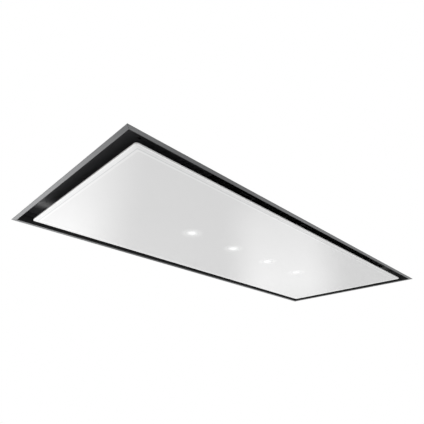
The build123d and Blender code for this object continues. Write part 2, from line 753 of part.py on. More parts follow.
# ---- Control box ----
def control_box():
    box = block(control_x, (-control_y, control_y), (housing_top, control_top))
    inside_x = (control_x[0] + CONTROL_WALL, control_x[1] - CONTROL_WALL)
    inside_y = control_y - CONTROL_WALL
    box -= block(inside_x, (-inside_y, inside_y), (control_floor, control_top))
    for x in (board_x[0] + POST_WIDTH, board_x[1] - POST_WIDTH):
        for y in (board_y[0] + POST_WIDTH, board_y[1] - POST_WIDTH):
            box += Pos(x, y, control_floor + POST_HEIGHT / 2) * Box(POST_WIDTH, POST_WIDTH, POST_HEIGHT)
    neck = GLAND_NECK + 2 * GLAND_FIT
    box -= Pos(gland_x, control_y, gland_z) * Box(neck, 4 * CONTROL_WALL, neck)
    hole = Rot(90, 0, 0) * Cylinder(CABLE_RADIUS + CABLE_HOLE_GAP, 4 * CONTROL_WALL)
    return box - Pos(cable_entry_x, control_y, cable_top_z) * hole


def control_box_lid():
    lid = block(control_x, (-control_y, control_y), (control_top, control_top + CONTROL_LID))
    lid = fillet(lid.faces().sort_by(Axis.Z)[-1].edges(), CONTROL_LID / 3)
    inset = CONTROL_WALL + CONTROL_LID_FIT
    step_x = (control_x[0] + inset, control_x[1] - inset)
    step_y = control_y - inset
    step = block(step_x, (-step_y, step_y), (control_top - CONTROL_LID_STEP, control_top))
    inside_x = (step_x[0] + CONTROL_WALL, step_x[1] - CONTROL_WALL)
    inside_y = step_y - CONTROL_WALL
    step -= block(inside_x, (-inside_y, inside_y), (control_top - CONTROL_LID_STEP, control_top))
    return lid + step


def control_board():
    board = block(board_x, board_y, (board_z, board_z + BOARD_SHEET))
    top = board_z + BOARD_SHEET
    row_x = board_x[0] + 2 * POST_WIDTH + TRANSFORMER_SIZE[0] / 2
    row_y = (board_y[0] + board_y[1]) / 2
    length, width, height = TRANSFORMER_SIZE
    board += Pos(row_x, row_y, top + height / 2) * Box(length, width, height)
    relay_x = row_x + TRANSFORMER_SIZE[0] / 2 + RELAY_SIZE[0]
    for place in (-1, 1):
        relay = Pos(relay_x, row_y + place * RELAY_SIZE[1], top + RELAY_SIZE[2] / 2) * Box(*RELAY_SIZE)
        board += relay
    can_x = relay_x + RELAY_SIZE[0] + CAPACITOR_RADIUS
    board += Pos(can_x, row_y, top + CAPACITOR_HEIGHT / 2) * Cylinder(CAPACITOR_RADIUS, CAPACITOR_HEIGHT)
    return board


def led_driver():
    x_range = (board_x[0], board_x[0] + DRIVER_LENGTH)
    z_range = (control_floor, control_floor + DRIVER_HEIGHT)
    driver = block(x_range, (parts_y, parts_y + DRIVER_WIDTH), z_range)
    return fillet(driver.edges().filter_by(Axis.Z), CONTROL_WALL)


def terminal_block():
    """A stepped strip with a row of screw wells."""
    high = control_floor + TERMINAL_HEIGHT
    step = high - TERMINAL_STEP
    x_range = (terminal_x, terminal_x + TERMINAL_LENGTH)
    far = parts_y + TERMINAL_WIDTH
    ledge = far - TERMINAL_STEP
    strip = block(x_range, (parts_y, ledge), (control_floor, high))
    strip += block(x_range, (ledge, far), (control_floor, step))
    pitch = TERMINAL_LENGTH / TERMINAL_WELLS
    well = Box(TERMINAL_WELL_WIDTH, TERMINAL_WELL_WIDTH, 2 * TERMINAL_WELL_DEPTH)
    for i in range(TERMINAL_WELLS):
        strip -= Pos(terminal_x + (i + 0.5) * pitch, (parts_y + ledge) / 2, high) * well
    return strip


def cable_gland():
    """A screwed gland: a neck through the wall, a hexagon outside it and a smaller hexagon cap."""
    plane = Plane(origin=(gland_x, control_y, gland_z), x_dir=(1, 0, 0), z_dir=(0, 1, 0))
    base = RegularPolygon(GLAND_HEX / 2, 6, major_radius=False)
    cap = RegularPolygon(GLAND_CAP / 2, 6, major_radius=False)
    gland = extrude(plane * base, amount=GLAND_HEX_LENGTH)
    gland += extrude(plane * cap, amount=GLAND_LENGTH)
    gland += extrude(plane * Rectangle(GLAND_NECK, GLAND_NECK), amount=-GLAND_TAIL)
    inner_end = plane.offset(-GLAND_TAIL)
    return gland - extrude(inner_end * Circle(GLAND_BORE), amount=GLAND_TAIL + GLAND_LENGTH)


# ---- Ceiling hangers ----
def four_corners(shape):
    """A piece at the right rear corner, copied to all four corners."""
    right = [shape, mirror(shape, about=Plane.XZ)]
    return Compound(children=right + [mirror(one, about=Plane.YZ) for one in right])




def housing_brackets():
    low = housing_top
    leg_x = (hanger_x - HANGER_SHEET, hanger_x)
    foot_x = (hanger_x - HANGER_FLANGE, hanger_x)
    bracket = block(foot_x, hanger_y_range, (low, low + HANGER_SHEET))
    bracket += block(leg_x, hanger_y_range, (low, low + HANGER_LOWER_LEG))
    slot = Rectangle(hanger_hole, hanger_hole + 2 * HANGER_ADJUST)
    return four_corners(bracket - across(slot, -2 * HANGER_SHEET, 2 * HANGER_SHEET, hanger_bolt))


def ceiling_brackets():
    high = overall_top
    leg_x = (hanger_x, hanger_x + HANGER_SHEET)
    flange_x = (hanger_x, hanger_x + HANGER_FLANGE)
    bracket = block(flange_x, hanger_y_range, (high - HANGER_SHEET, high))
    bracket += block(leg_x, hanger_y_range, (high - HANGER_UPPER_LEG, high))
    hole = Cylinder(HANGER_HOLE_RADIUS, 4 * HANGER_SHEET)
    bracket -= Pos(hanger_x + HANGER_HOLE_REACH, hanger_y, high) * hole
    square = Rectangle(hanger_hole, hanger_hole)
    bracket -= across(square, -2 * HANGER_SHEET, 2 * HANGER_SHEET, hanger_bolt)
    return four_corners(bracket)


def bracket_bolts():
    """A square-necked bolt and its nut through both legs of each hanger."""
    hexagon = RegularPolygon(HEX_WIDTH / 2, 6, major_radius=False)
    neck = Rectangle(HANGER_BOLT_WIDTH, HANGER_BOLT_WIDTH)
    bolt = across(neck, -HANGER_SHEET, HANGER_SHEET, hanger_bolt)
    bolt += across(hexagon, HANGER_SHEET, HANGER_SHEET + HEX_HEAD, hanger_bolt)
    bolt += across(hexagon, -HANGER_SHEET - HEX_NUT, -HANGER_SHEET, hanger_bolt)
    return four_corners(bolt)


# ---- Glass panel and its carrier ----
def glass_pane():
    """Bevelled along its lower edge, with a hole for each lamp."""
    edge_z = pane_low + PANE_BEVEL_DEPTH
    full = RectangleRounded(2 * pane_x, 2 * pane_y, PANE_CORNER)
    flat = RectangleRounded(2 * (pane_x - PANE_BEVEL), 2 * (pane_y - PANE_BEVEL), PANE_BEVEL_CORNER)
    pane = extrude(Pos(0, 0, edge_z) * full, amount=pane_high - edge_z)
    pane += loft([Pos(0, 0, pane_low) * flat, Pos(0, 0, edge_z) * full], ruled=True)
    for x in lamp_places:
        pane -= Pos(x, 0, 0) * Cylinder(LAMP_RADIUS + LAMP_GAP, 4 * PANE_THICKNESS)
    return pane


def bonding_strips():
    inset = BOND_INSET
    return rim(carrier_x - inset, carrier_y - inset, BOND_WIDTH, pane_high, carrier_low)


def panel_carrier():
    carrier = block((-carrier_x, carrier_x), (-carrier_y, carrier_y), (carrier_low, wall_top))
    inside_x = carrier_x - CARRIER_SHEET
    inside_y = carrier_y - CARRIER_SHEET
    carrier -= block((-inside_x, inside_x), (-inside_y, inside_y), (carrier_floor, wall_top))
    half = LAMP_SQUARE / 2 + LAMP_SQUARE_GAP
    for x in lamp_places:
        carrier -= block((x - half, x + half), (-half, half), (carrier_low, carrier_floor))
    half = HARNESS_NOTCH / 2
    notch_low = hinge_z - CABLE_RADIUS - CABLE_CLEAR
    notch_y = (carrier_y - 2 * CARRIER_SHEET, carrier_y)
    return carrier - block((harness_x - half, harness_x + half), notch_y, (notch_low, wall_top))


def carrier_ribs():
    """Hat sections across the carrier, under the hinges and catches."""
    half = RIB_WIDTH / 2
    foot = half + RIB_FOOT
    low, high = carrier_floor, rib_top
    sheet = RIB_SHEET
    right = [(foot, low), (foot, low + sheet), (half, low + sheet), (half, high)]
    left = [(-x, z) for x, z in reversed(right)]
    inner = half - sheet
    under = [(-inner, low), (-inner, high - sheet), (inner, high - sheet), (inner, low)]
    section = make_face(Polyline(*right, *left, *under, close=True))
    rib_y = carrier_y - CARRIER_SHEET - RIB_END_GAP
    ribs = []
    for x in (-rib_x, rib_x):
        plane = Plane(origin=(x, -rib_y, 0), x_dir=(1, 0, 0), z_dir=(0, -1, 0))
        ribs.append(extrude(plane * section, amount=-2 * rib_y))
    return Compound(children=ribs)


# ---- Lamps ----
def lamp_lenses():
    lenses = []
    for x in lamp_places:
        lenses.append(Pos(x, 0, (pane_low + pane_high) / 2) * Cylinder(LAMP_RADIUS, PANE_THICKNESS))
    return Compound(children=lenses)


def lamp_body(x):
    """A lamp's heat sink: a square plate, upright fins and a socket for its plug."""
    half = LAMP_SQUARE / 2
    low = pane_high + LAMP_BASE
    body = block((x - half, x + half), (-half, half), (pane_high, low))
    socket_x = (x - LAMP_SOCKET_WIDTH / 2, x + LAMP_SOCKET_WIDTH / 2)
    socket_y = (half - LAMP_SOCKET_DEPTH, half)
    pitch = (LAMP_SQUARE - FIN_SHEET) / (FIN_COUNT - 1)
    for i in range(FIN_COUNT):
        fin_x = x - half + i * pitch
        body += block((fin_x, fin_x + FIN_SHEET), (-half, half), (low, low + FIN_HEIGHT))
    body -= block(socket_x, socket_y, (low, low + FIN_HEIGHT))
    return body + block(socket_x, socket_y, (low, low + LAMP_SOCKET_HEIGHT))


# ---- Hinges and catches ----
def both_ribs(shape):
    """A piece drawn at X = 0, copied to both ribs."""
    return Compound(children=[Pos(x, 0, 0) * shape for x in (-rib_x, rib_x)])


def hinge_arms():
    """A strap on each rib that ends in the barrel of the hinge."""
    neck = BARREL_LENGTH / 2
    half = STRAP_WIDTH / 2
    strap_z = (rib_top, rib_top + STRAP_SHEET)
    arm = across(Circle(BARREL_RADIUS), -neck, neck, hinge_line)
    arm += block((-neck, neck), (hinge_y - STRAP_NECK, hinge_y), strap_z)
    arm += block((-half, half), (hinge_y - STRAP_LENGTH, hinge_y - STRAP_NECK), strap_z)
    return both_ribs(arm - across(Circle(PIN_RADIUS + PIN_BARREL_FIT), -half, half, hinge_line))


def hinge_brackets():
    """Folded brackets under the tray, with an ear on each side of the barrel."""
    base_low = RECESS_DEPTH - EAR_BASE_SHEET
    half = EAR_BASE_LENGTH / 2
    base_y = (hinge_y - EAR_BASE_FRONT, hinge_y + EAR_BASE_REAR)
    bracket = block((-half, half), base_y, (base_low, RECESS_DEPTH))
    height = base_low - hinge_z
    ear = Pos(0, (height - EAR_RADIUS) / 2) * Rectangle(2 * EAR_RADIUS, height + EAR_RADIUS)
    ear -= Circle(PIN_RADIUS + PIN_EAR_FIT)
    bracket += across(ear, ear_in, ear_out, hinge_line)
    return both_ribs(bracket + across(ear, -ear_out, -ear_in, hinge_line))


def hinge_pins():
    half = ear_out + PIN_TAIL
    return both_ribs(across(Circle(PIN_RADIUS), -half, half, hinge_line))


def striker_plates():
    half = STRIKER_LENGTH / 2
    return both_ribs(block((-half, half), striker_y_range, (rib_top, striker_top)))


def catch_magnets():
    """A block on the tray with two steel pole plates that stand a little proud."""
    half = MAGNET_LENGTH / 2
    low = striker_top + MAGNET_GAP
    near, far = striker_y_range
    magnet = block((-half, half), striker_y_range, (low, RECESS_DEPTH))
    slot = block((-half, half), (near + POLE_SHEET, far - POLE_SHEET), (low, low + POLE_STEP))
    return both_ribs(magnet - slot)


# ---- Lamp wiring ----
def lamp_cable():
    """From the control box over the housing and down to the hinge line."""
    points = (
        (cable_twist_x, hinge_y, hinge_z),
        (cable_drop_x, hinge_y, hinge_z),
        (cable_drop_x, hinge_y, housing_top + CABLE_RISE),
        (cable_drop_x + CABLE_CREST, hinge_y, housing_top + CABLE_RISE),
        (cable_drop_x + CABLE_CREST + CABLE_FALL, hinge_y, cable_top_z),
        (cable_entry_x, hinge_y, cable_top_z),
        (cable_entry_x, control_y - CABLE_INTO_BOX, cable_top_z),
    )
    bends = (BEND_AT_DROP, BEND_AT_TOP, BEND_ON_TOP, BEND_ON_TOP, BEND_ON_TOP)
    return tube(points, bends, CABLE_RADIUS)


def panel_harness():
    """From the hinge line into the carrier and along the lamps, with a lead to each."""
    beside = LAMP_SQUARE / 2 + HARNESS_BESIDE_LAMP
    points = (
        (cable_twist_x, hinge_y, hinge_z),
        (harness_x, hinge_y, hinge_z),
        (harness_x, hinge_y - HARNESS_DIP_START, hinge_z),
        (harness_x, hinge_y - HARNESS_DIP_END, socket_z),
        (harness_x, beside, socket_z),
        (lamp_places[-1], beside, socket_z),
        (lamp_places[-1], LAMP_SQUARE / 2, socket_z),
    )
    bends = (BEND_AT_PANEL, BEND_AT_DIP, BEND_AT_DIP, BEND_AT_LAMPS, BEND_AT_LAST_LAMP)
    harness = tube(points, bends, CABLE_RADIUS)
    for x in lamp_places[:-1]:
        middle = (x, LAMP_SQUARE / 2 + HARNESS_BESIDE_LAMP / 2, socket_z)
        harness += Pos(*middle) * Box(LAMP_LEAD_WIDTH, HARNESS_BESIDE_LAMP, LAMP_LEAD_WIDTH)
    return harness


# ---- The whole hood ----
sub_parts = {
    "trim_frame": trim_frame(),
    "recess_tray": recess_tray(),
    "housing_wrap": housing_wrap(),
    "end_panel_left": end_panel(-1),
    "end_panel_right": end_panel(1),
    "filter_dividers": filter_dividers(),
    "motor_box": motor_box(),
    "motor_box_lid": motor_box_lid(),
    "blower_scroll": blower_scroll(),
    "scroll_side_left": scroll_side(-1),
    "scroll_side_right": scroll_side(1),
    "fan_motor": fan_motor(),
    "motor_bracket": motor_bracket(),
    "impeller": impeller(),
    "motor_shaft": motor_shaft(),
    "outlet_adapter": outlet_adapter(),
    "outlet_collar": outlet_collar(),
    "flap_axle": flap_axle(),
    "flap_left": outlet_flap(-1),
    "flap_right": outlet_flap(1),
    "control_box": control_box(),
    "control_box_lid": control_box_lid(),
    "control_board": control_board(),
    "led_driver": led_driver(),
    "terminal_block": terminal_block(),
    "cable_gland": cable_gland(),
    "ceiling_brackets": ceiling_brackets(),
    "housing_brackets": housing_brackets(),
    "bracket_bolts": bracket_bolts(),
    "glass_pane": glass_pane(),
    "bonding_strips": bonding_strips(),
    "panel_carrier": panel_carrier(),
    "carrier_ribs": carrier_ribs(),
    "lamp_lenses": lamp_lenses(),
    "hinge_arms": hinge_arms(),
    "hinge_brackets": hinge_brackets(),
    "hinge_pins": hinge_pins(),
    "striker_plates": striker_plates(),
    "catch_magnets": catch_magnets(),
    "lamp_cable": lamp_cable(),
    "panel_harness": panel_harness(),
}
for number, place in enumerate(filter_places, 1):
    sub_parts[f"filter_frame_{number}"] = filter_frame(place)
    sub_parts[f"filter_mesh_{number}"] = filter_mesh(place)
    sub_parts[f"filter_handle_{number}"] = filter_handle(place)
    sub_parts[f"filter_latch_{number}"] = filter_latch(place)
for number, place in enumerate(lamp_places, 1):
    sub_parts[f"lamp_body_{number}"] = lamp_body(place)

os.makedirs("parts", exist_ok=True)
for name, shape in sub_parts.items():
    export_step(shape, os.path.join("parts", f"{name}.step"))
print(len(sub_parts), "sub-parts written")
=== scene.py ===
import bpy
import bmesh
import math
from mathutils import Matrix, Vector


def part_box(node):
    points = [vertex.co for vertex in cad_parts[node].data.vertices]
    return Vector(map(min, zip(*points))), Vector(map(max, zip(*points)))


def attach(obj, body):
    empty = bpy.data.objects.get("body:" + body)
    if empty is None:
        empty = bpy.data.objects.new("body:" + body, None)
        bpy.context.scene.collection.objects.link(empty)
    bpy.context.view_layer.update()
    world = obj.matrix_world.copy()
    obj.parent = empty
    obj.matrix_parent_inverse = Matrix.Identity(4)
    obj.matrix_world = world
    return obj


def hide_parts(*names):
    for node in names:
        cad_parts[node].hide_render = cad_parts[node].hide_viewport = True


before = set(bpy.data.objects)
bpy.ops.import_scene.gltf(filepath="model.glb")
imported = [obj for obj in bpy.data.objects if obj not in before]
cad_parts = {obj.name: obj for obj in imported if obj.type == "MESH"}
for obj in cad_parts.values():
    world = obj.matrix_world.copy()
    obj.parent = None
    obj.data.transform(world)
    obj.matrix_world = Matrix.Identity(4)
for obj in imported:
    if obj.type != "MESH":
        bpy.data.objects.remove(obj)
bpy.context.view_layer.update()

# ==== Camera ====
# A low view from under one corner, looking up at the panel, with the long side running away.
# The place, heading and lens are the ones that put the frame's four corners where they are seen.
CAMERA_PLACE = (-0.8325, -0.6746, -0.3872)
CAMERA_HEADING = 44.69
CAMERA_PITCH = 26.42
CAMERA_ROLL = 0.19
CAMERA_LENS = 31.85

camera_data = bpy.data.cameras.new("camera")
camera_data.lens = CAMERA_LENS
camera_data.clip_start = 0.01
camera = bpy.data.objects.new("camera", camera_data)
bpy.context.scene.collection.objects.link(camera)
camera.location = CAMERA_PLACE
turn = Matrix.Rotation(math.radians(-CAMERA_HEADING), 4, "Z")
tilt = Matrix.Rotation(math.radians(90 + CAMERA_PITCH), 4, "X")
roll = Matrix.Rotation(math.radians(CAMERA_ROLL), 4, "Z")
camera.rotation_euler = (turn @ tilt @ roll).to_euler()
bpy.context.scene.camera = camera
bpy.context.scene.view_settings.view_transform = "Standard"


# ==== Room ====
# A pale floor far below the ceiling, which fades into a white room, and soft lights. The glass and
# the steel mirror the two low ones as broad soft bands, and the third lights the housing from above.
FLOOR_Z = -1.7
FLOOR_RADIUS = 40.0
FADE_START = 6.5
FADE_END = 12.0
ROOM_LIGHT = 1.0
SOFTBOX_CORE = 0.15


def colour(hex_value):
    """An sRGB hex value as linear red, green, blue and alpha."""
    channels = [int(hex_value[i:i + 2], 16) / 255 for i in (0, 2, 4)]
    linear = [c / 12.92 if c <= 0.04045 else ((c + 0.055) / 1.055) ** 2.4 for c in channels]
    return (*linear, 1.0)


def add(tree, kind, inputs=None, **settings):
    """Adds a node, makes its settings, and sets or links its inputs by name or number."""
    made = tree.nodes.new(kind)
    for key, value in settings.items():
        setattr(made, key, value)
    for key, value in (inputs or {}).items():
        if isinstance(value, bpy.types.NodeSocket):
            tree.links.new(value, made.inputs[key])
        else:
            made.inputs[key].default_value = value
    return made


def new_material(name):
    """A blank material, its nodes, and the object's own coordinates, which place its patterns."""
    made = bpy.data.materials.new(name)
    made.use_nodes = True
    made.node_tree.nodes.clear()
    place = add(made.node_tree, "ShaderNodeTexCoord")
    return made, made.node_tree, place.outputs["Object"]


def mm(size):
    """The texture scale that makes one feature this many millimetres wide."""
    return 1000.0 / size


def mesh_piece(name, shape, material):
    """Turns a bmesh into an object of that material."""
    data = bpy.data.meshes.new(name)
    shape.to_mesh(data)
    shape.free()
    made = bpy.data.objects.new(name, data)
    made.data.materials.append(material)
    bpy.context.scene.collection.objects.link(made)
    return made


def painted_floor():
    """Smooth painted concrete: pale, matt and faintly cloudy, washed out by light further off."""
    made, tree, place = new_material("painted_floor")
    cloud = add(tree, "ShaderNodeTexNoise", {"Vector": place, "Scale": mm(1250), "Detail": 3.0})
    tone = add(tree, "ShaderNodeMix", {
        "Factor": cloud.outputs["Fac"], 6: colour("CDCDCD"), 7: colour("C9C9C9")}, data_type="RGBA")
    away = add(tree, "ShaderNodeVectorMath", {0: place}, operation="LENGTH")
    fade = add(tree, "ShaderNodeMapRange", {
        "Value": away.outputs["Value"], "From Min": FADE_START, "From Max": FADE_END},
        interpolation_type="SMOOTHSTEP")
    skin = add(tree, "ShaderNodeBsdfPrincipled", {"Base Color": tone.outputs[2], "Roughness": 0.85})
    white = add(tree, "ShaderNodeEmission", {"Color": (1, 1, 1, 1), "Strength": ROOM_LIGHT})
    mixed = add(tree, "ShaderNodeMixShader", {0: fade.outputs[0], 1: skin.outputs[0], 2: white.outputs[0]})
    add(tree, "ShaderNodeOutputMaterial", {"Surface": mixed.outputs[0]})
    return made


disc = bmesh.new()
bmesh.ops.create_circle(disc, cap_ends=True, segments=64, radius=FLOOR_RADIUS)
floor = mesh_piece("floor", disc, painted_floor())
floor.location.z = FLOOR_Z

world = bpy.data.worlds.new("white_room")
bpy.context.scene.world = world
world.use_nodes = True
world.node_tree.nodes["Background"].inputs["Color"].default_value = (1, 1, 1, 1)
world.node_tree.nodes["Background"].inputs["Strength"].default_value = ROOM_LIGHT


def soft_light(name, place, look_at, size, power):
    """A softbox that is mirrored but not seen itself. It is even in the middle and fades to nothing
    at its edges."""
    data = bpy.data.lights.new(name, "AREA")
    data.shape = "RECTANGLE"
    data.size, data.size_y = size
    data.energy = power
    data.use_nodes = True
    tree = data.node_tree
    across = add(tree, "ShaderNodeNewGeometry")
    axes = add(tree, "ShaderNodeSeparateXYZ", {"Vector": across.outputs["Parametric"]})
    fades = []
    for axis in ("X", "Y"):
        middle = add(tree, "ShaderNodeMath", {0: axes.outputs[axis], 1: 0.5}, operation="SUBTRACT")
        side = add(tree, "ShaderNodeMath", {0: middle.outputs[0]}, operation="ABSOLUTE")
        fades.append(add(tree, "ShaderNodeMapRange", {
            "Value": side.outputs[0], "From Min": SOFTBOX_CORE, "From Max": 0.5,
            "To Min": 1.0, "To Max": 0.0}, interpolation_type="SMOOTHSTEP"))
    fade = add(tree, "ShaderNodeMath", {
        0: fades[0].outputs[0], 1: fades[1].outputs[0]}, operation="MULTIPLY")
    tree.nodes["Emission"].inputs["Color"].default_value = (1, 1, 1, 1)
    tree.links.new(fade.outputs[0], tree.nodes["Emission"].inputs["Strength"])
    light = bpy.data.objects.new(name, data)
    light.location = place
    light.rotation_euler = (Vector(look_at) - Vector(place)).to_track_quat("-Z", "Y").to_euler()
    light.visible_camera = False
    bpy.context.scene.collection.objects.link(light)


# The glass is a mirror for what stands past it, so each soft light is placed by where it shows in
# the glass: its heading and how far it stands below the level line, from the camera's mirror image.
MIRROR_PLACE = Vector((CAMERA_PLACE[0], CAMERA_PLACE[1], -CAMERA_PLACE[2]))
for name, heading, drop, distance, size, power in (
        ("left_light", 15.5, 29, 2.6, (1.5, 1.7), 13.5),
        ("band_light", 56.0, 20.5, 4.2, (1.4, 1.7), 6.4)):
    flat = Vector((math.sin(math.radians(heading)), math.cos(math.radians(heading)), 0))
    way = flat * math.cos(math.radians(drop)) - Vector((0, 0, math.sin(math.radians(drop))))
    place = MIRROR_PLACE + way * distance
    soft_light(name, place, MIRROR_PLACE, size, power)
soft_light("top_light", (-1.6, -1.8, 2.6), (0, 0, 0.1), (2.4, 2.4), 90)


# ==== Ceiling ====
# The hood hangs in a cut-out in a plasterboard ceiling, which hides the housing from below. The
# board round the cut-out is a backdrop: pure white below, plain plaster on top, and no shadow.
BOARD_MARGIN = 1.30
BOARD_THICKNESS = 0.0125
FLANGE_COVER = 0.0035
SKIM_COAT = 0.0010


def plaster():
    """Gypsum plaster: matt and nearly white, with a faint cloudiness."""
    made, tree, place = new_material("gypsum_plaster")
    cloud = add(tree, "ShaderNodeTexNoise", {"Vector": place, "Scale": mm(60), "Detail": 4.0})
    tone = add(tree, "ShaderNodeMix", {
        "Factor": cloud.outputs["Fac"], 6: colour("DADAD8"), 7: colour("E2E2E0")}, data_type="RGBA")
    skin = add(tree, "ShaderNodeBsdfPrincipled", {"Base Color": tone.outputs[2], "Roughness": 0.9})
    add(tree, "ShaderNodeOutputMaterial", {"Surface": skin.outputs[0]})
    return made


def white_ceiling():
    """Ceiling paint so evenly lit that it shows as pure white."""
    made, tree = new_material("white_ceiling_paint")[:2]
    skin = add(tree, "ShaderNodeEmission", {"Color": (1, 1, 1, 1), "Strength": ROOM_LIGHT})
    add(tree, "ShaderNodeOutputMaterial", {"Surface": skin.outputs[0]})
    return made


def ceiling_board(low, high):
    """A board with the cut-out in it, in four strips that meet at its corners. The skim coat under
    it ends at the frame's edge, and the board itself runs on a little way over the frame. Its top
    and its inner edge are plaster, and the rest is painted."""
    shape = bmesh.new()
    rings = []
    for reach, z in ((BOARD_MARGIN, -SKIM_COAT), (0.0, -SKIM_COAT), (0.0, 0.0), (-FLANGE_COVER, 0.0),
                     (-FLANGE_COVER, BOARD_THICKNESS), (BOARD_MARGIN, BOARD_THICKNESS)):
        corners = ((low.x - reach, low.y - reach), (high.x + reach, low.y - reach),
                   (high.x + reach, high.y + reach), (low.x - reach, high.y + reach))
        rings.append([shape.verts.new((x, y, z)) for x, y in corners])
    for first, second in zip(rings, rings[1:] + rings[:1]):
        for i in range(4):
            j = (i + 1) % 4
            face = shape.faces.new((first[i], second[i], second[j], first[j]))
            face.material_index = 0 if first in rings[3:5] else 1
    return shape


board = mesh_piece("ceiling_board", ceiling_board(*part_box("trim_frame")), plaster())
board.data.materials.append(white_ceiling())
board.visible_shadow = False


# ==== Ceiling frame ====
# A flat border of brushed stainless steel sheet, folded up inside the ceiling cut-out. Its four
# strips are mitred and welded at the corners, and each is brushed along its length.
BRUSH_LENGTH_MM = 60.0
BRUSH_WIDTH_MM = 0.5
MITRE_LINE = 0.00035
UPRIGHT_LEAN = 0.3
frame_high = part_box("trim_frame")[1]
mitre_shift = frame_high.x - frame_high.y


def brushed_stainless():
    """Stainless steel, brushed: a grey mirror blurred across the strokes, which run along each
    strip. The strokes are drawn wider than real ones so that they show."""
    made, tree, place = new_material("brushed_stainless")
    axes = add(tree, "ShaderNodeSeparateXYZ", {"Vector": place})
    wide = add(tree, "ShaderNodeMath", {0: axes.outputs["X"]}, operation="ABSOLUTE")
    deep = add(tree, "ShaderNodeMath", {0: axes.outputs["Y"]}, operation="ABSOLUTE")
    end = add(tree, "ShaderNodeMath", {0: wide.outputs[0], 1: mitre_shift}, operation="SUBTRACT")
    across = add(tree, "ShaderNodeMath", {0: end.outputs[0], 1: deep.outputs[0]}, operation="SUBTRACT")
    short_side = add(tree, "ShaderNodeMath", {0: across.outputs[0], 1: 0.0}, operation="GREATER_THAN")
    strokes = []
    for scale in ((mm(BRUSH_LENGTH_MM), mm(BRUSH_WIDTH_MM)), (mm(BRUSH_WIDTH_MM), mm(BRUSH_LENGTH_MM))):
        stretched = add(tree, "ShaderNodeMapping", {"Vector": place, "Scale": (*scale, mm(BRUSH_WIDTH_MM))})
        strokes.append(add(tree, "ShaderNodeTexNoise", {
            "Vector": stretched.outputs[0], "Scale": 1.0, "Detail": 4.0, "Roughness": 0.65}))
    stroke = add(tree, "ShaderNodeMix", {
        0: short_side.outputs[0], 2: strokes[0].outputs["Fac"], 3: strokes[1].outputs["Fac"]})
    tone = add(tree, "ShaderNodeMix", {
        "Factor": stroke.outputs[0], 6: colour("656566"), 7: colour("979899")}, data_type="RGBA")
    seam_gap = add(tree, "ShaderNodeMath", {0: across.outputs[0]}, operation="ABSOLUTE")
    seam = add(tree, "ShaderNodeMath", {0: seam_gap.outputs[0], 1: MITRE_LINE}, operation="LESS_THAN")
    seamed = add(tree, "ShaderNodeMix", {
        "Factor": seam.outputs[0], 6: tone.outputs[2], 7: colour("4A4A4B")}, data_type="RGBA")
    matt = add(tree, "ShaderNodeMapRange", {"Value": stroke.outputs[0], "To Min": 0.39, "To Max": 0.49})
    grain = add(tree, "ShaderNodeBump", {"Height": stroke.outputs[0], "Strength": 0.25, "Distance": 0.0001})
    long_side = add(tree, "ShaderNodeMath", {0: 1.0, 1: short_side.outputs[0]}, operation="SUBTRACT")
    blurred_way = add(tree, "ShaderNodeCombineXYZ", {
        "X": short_side.outputs[0], "Y": long_side.outputs[0], "Z": UPRIGHT_LEAN})
    skin = add(tree, "ShaderNodeBsdfPrincipled", {
        "Base Color": seamed.outputs[2], "Metallic": 1.0, "Roughness": matt.outputs[0],
        "Normal": grain.outputs[0], "Anisotropic": 0.9, "Tangent": blurred_way.outputs[0]})
    add(tree, "ShaderNodeOutputMaterial", {"Surface": skin.outputs[0]})
    return made


def dress(material, *names):
    """Gives CAD nodes their finish."""
    for name in names:
        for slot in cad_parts[name].material_slots:
            slot.material = material


dress(brushed_stainless(), "trim_frame")


# ==== Recess tray and filter dividers ====
# The tray behind the panel is steel sheet, powder coated charcoal. Two bars of the same sheet
# part the three filters. Black foam tape lines the walls, down over the frame's inner edge; its black
# also stands in for painted shade on the walls and on the frame's inner lip.
POWDER_GRAIN_MM = 1.4
TRAY_WALL = 0.00125
SEAL_THICKNESS = 0.0008
# The tape reaches below the frame's face, over its inner edge, as a dark line of painted shade.
SEAL_LOW = -0.0014
SEAL_HIGH = 0.0160


def powder_coat():
    """Powder-coated steel: dark and half gloss, with the fine orange peel of baked powder."""
    made, tree, place = new_material("charcoal_powder_coat")
    peel = add(tree, "ShaderNodeTexNoise", {"Vector": place, "Scale": mm(POWDER_GRAIN_MM), "Detail": 2.0})
    cloud = add(tree, "ShaderNodeTexNoise", {"Vector": place, "Scale": mm(90), "Detail": 3.0})
    tone = add(tree, "ShaderNodeMix", {
        "Factor": cloud.outputs["Fac"], 6: colour("404042"), 7: colour("4A4A4C")}, data_type="RGBA")
    matt = add(tree, "ShaderNodeMapRange", {"Value": cloud.outputs["Fac"], "To Min": 0.24, "To Max": 0.34})
    grain = add(tree, "ShaderNodeBump", {
        "Height": peel.outputs["Fac"], "Strength": 0.35, "Distance": 0.0001})
    skin = add(tree, "ShaderNodeBsdfPrincipled", {
        "Base Color": tone.outputs[2], "Roughness": matt.outputs[0], "IOR": 1.5,
        "Normal": grain.outputs[0]})
    add(tree, "ShaderNodeOutputMaterial", {"Surface": skin.outputs[0]})
    return made


def foam_tape():
    """Closed-cell foam tape: black and dull, with a fine cell grain."""
    made, tree, place = new_material("foam_tape")
    cell = add(tree, "ShaderNodeTexVoronoi", {"Vector": place, "Scale": mm(0.8)})
    relief = add(tree, "ShaderNodeBump", {
        "Height": cell.outputs["Distance"], "Strength": 0.5, "Distance": 0.0002})
    skin = add(tree, "ShaderNodeBsdfPrincipled", {
        "Base Color": colour("232324"), "Roughness": 0.85, "Normal": relief.outputs[0]})
    add(tree, "ShaderNodeOutputMaterial", {"Surface": skin.outputs[0]})
    return made


def slab(shape, low, high):
    """Adds a box between two corners to a bmesh."""
    size = Vector(high) - Vector(low)
    middle = (Vector(high) + Vector(low)) / 2
    box = Matrix.Translation(middle) @ Matrix.Diagonal((*size, 1))
    bmesh.ops.create_cube(shape, size=1.0, matrix=box)


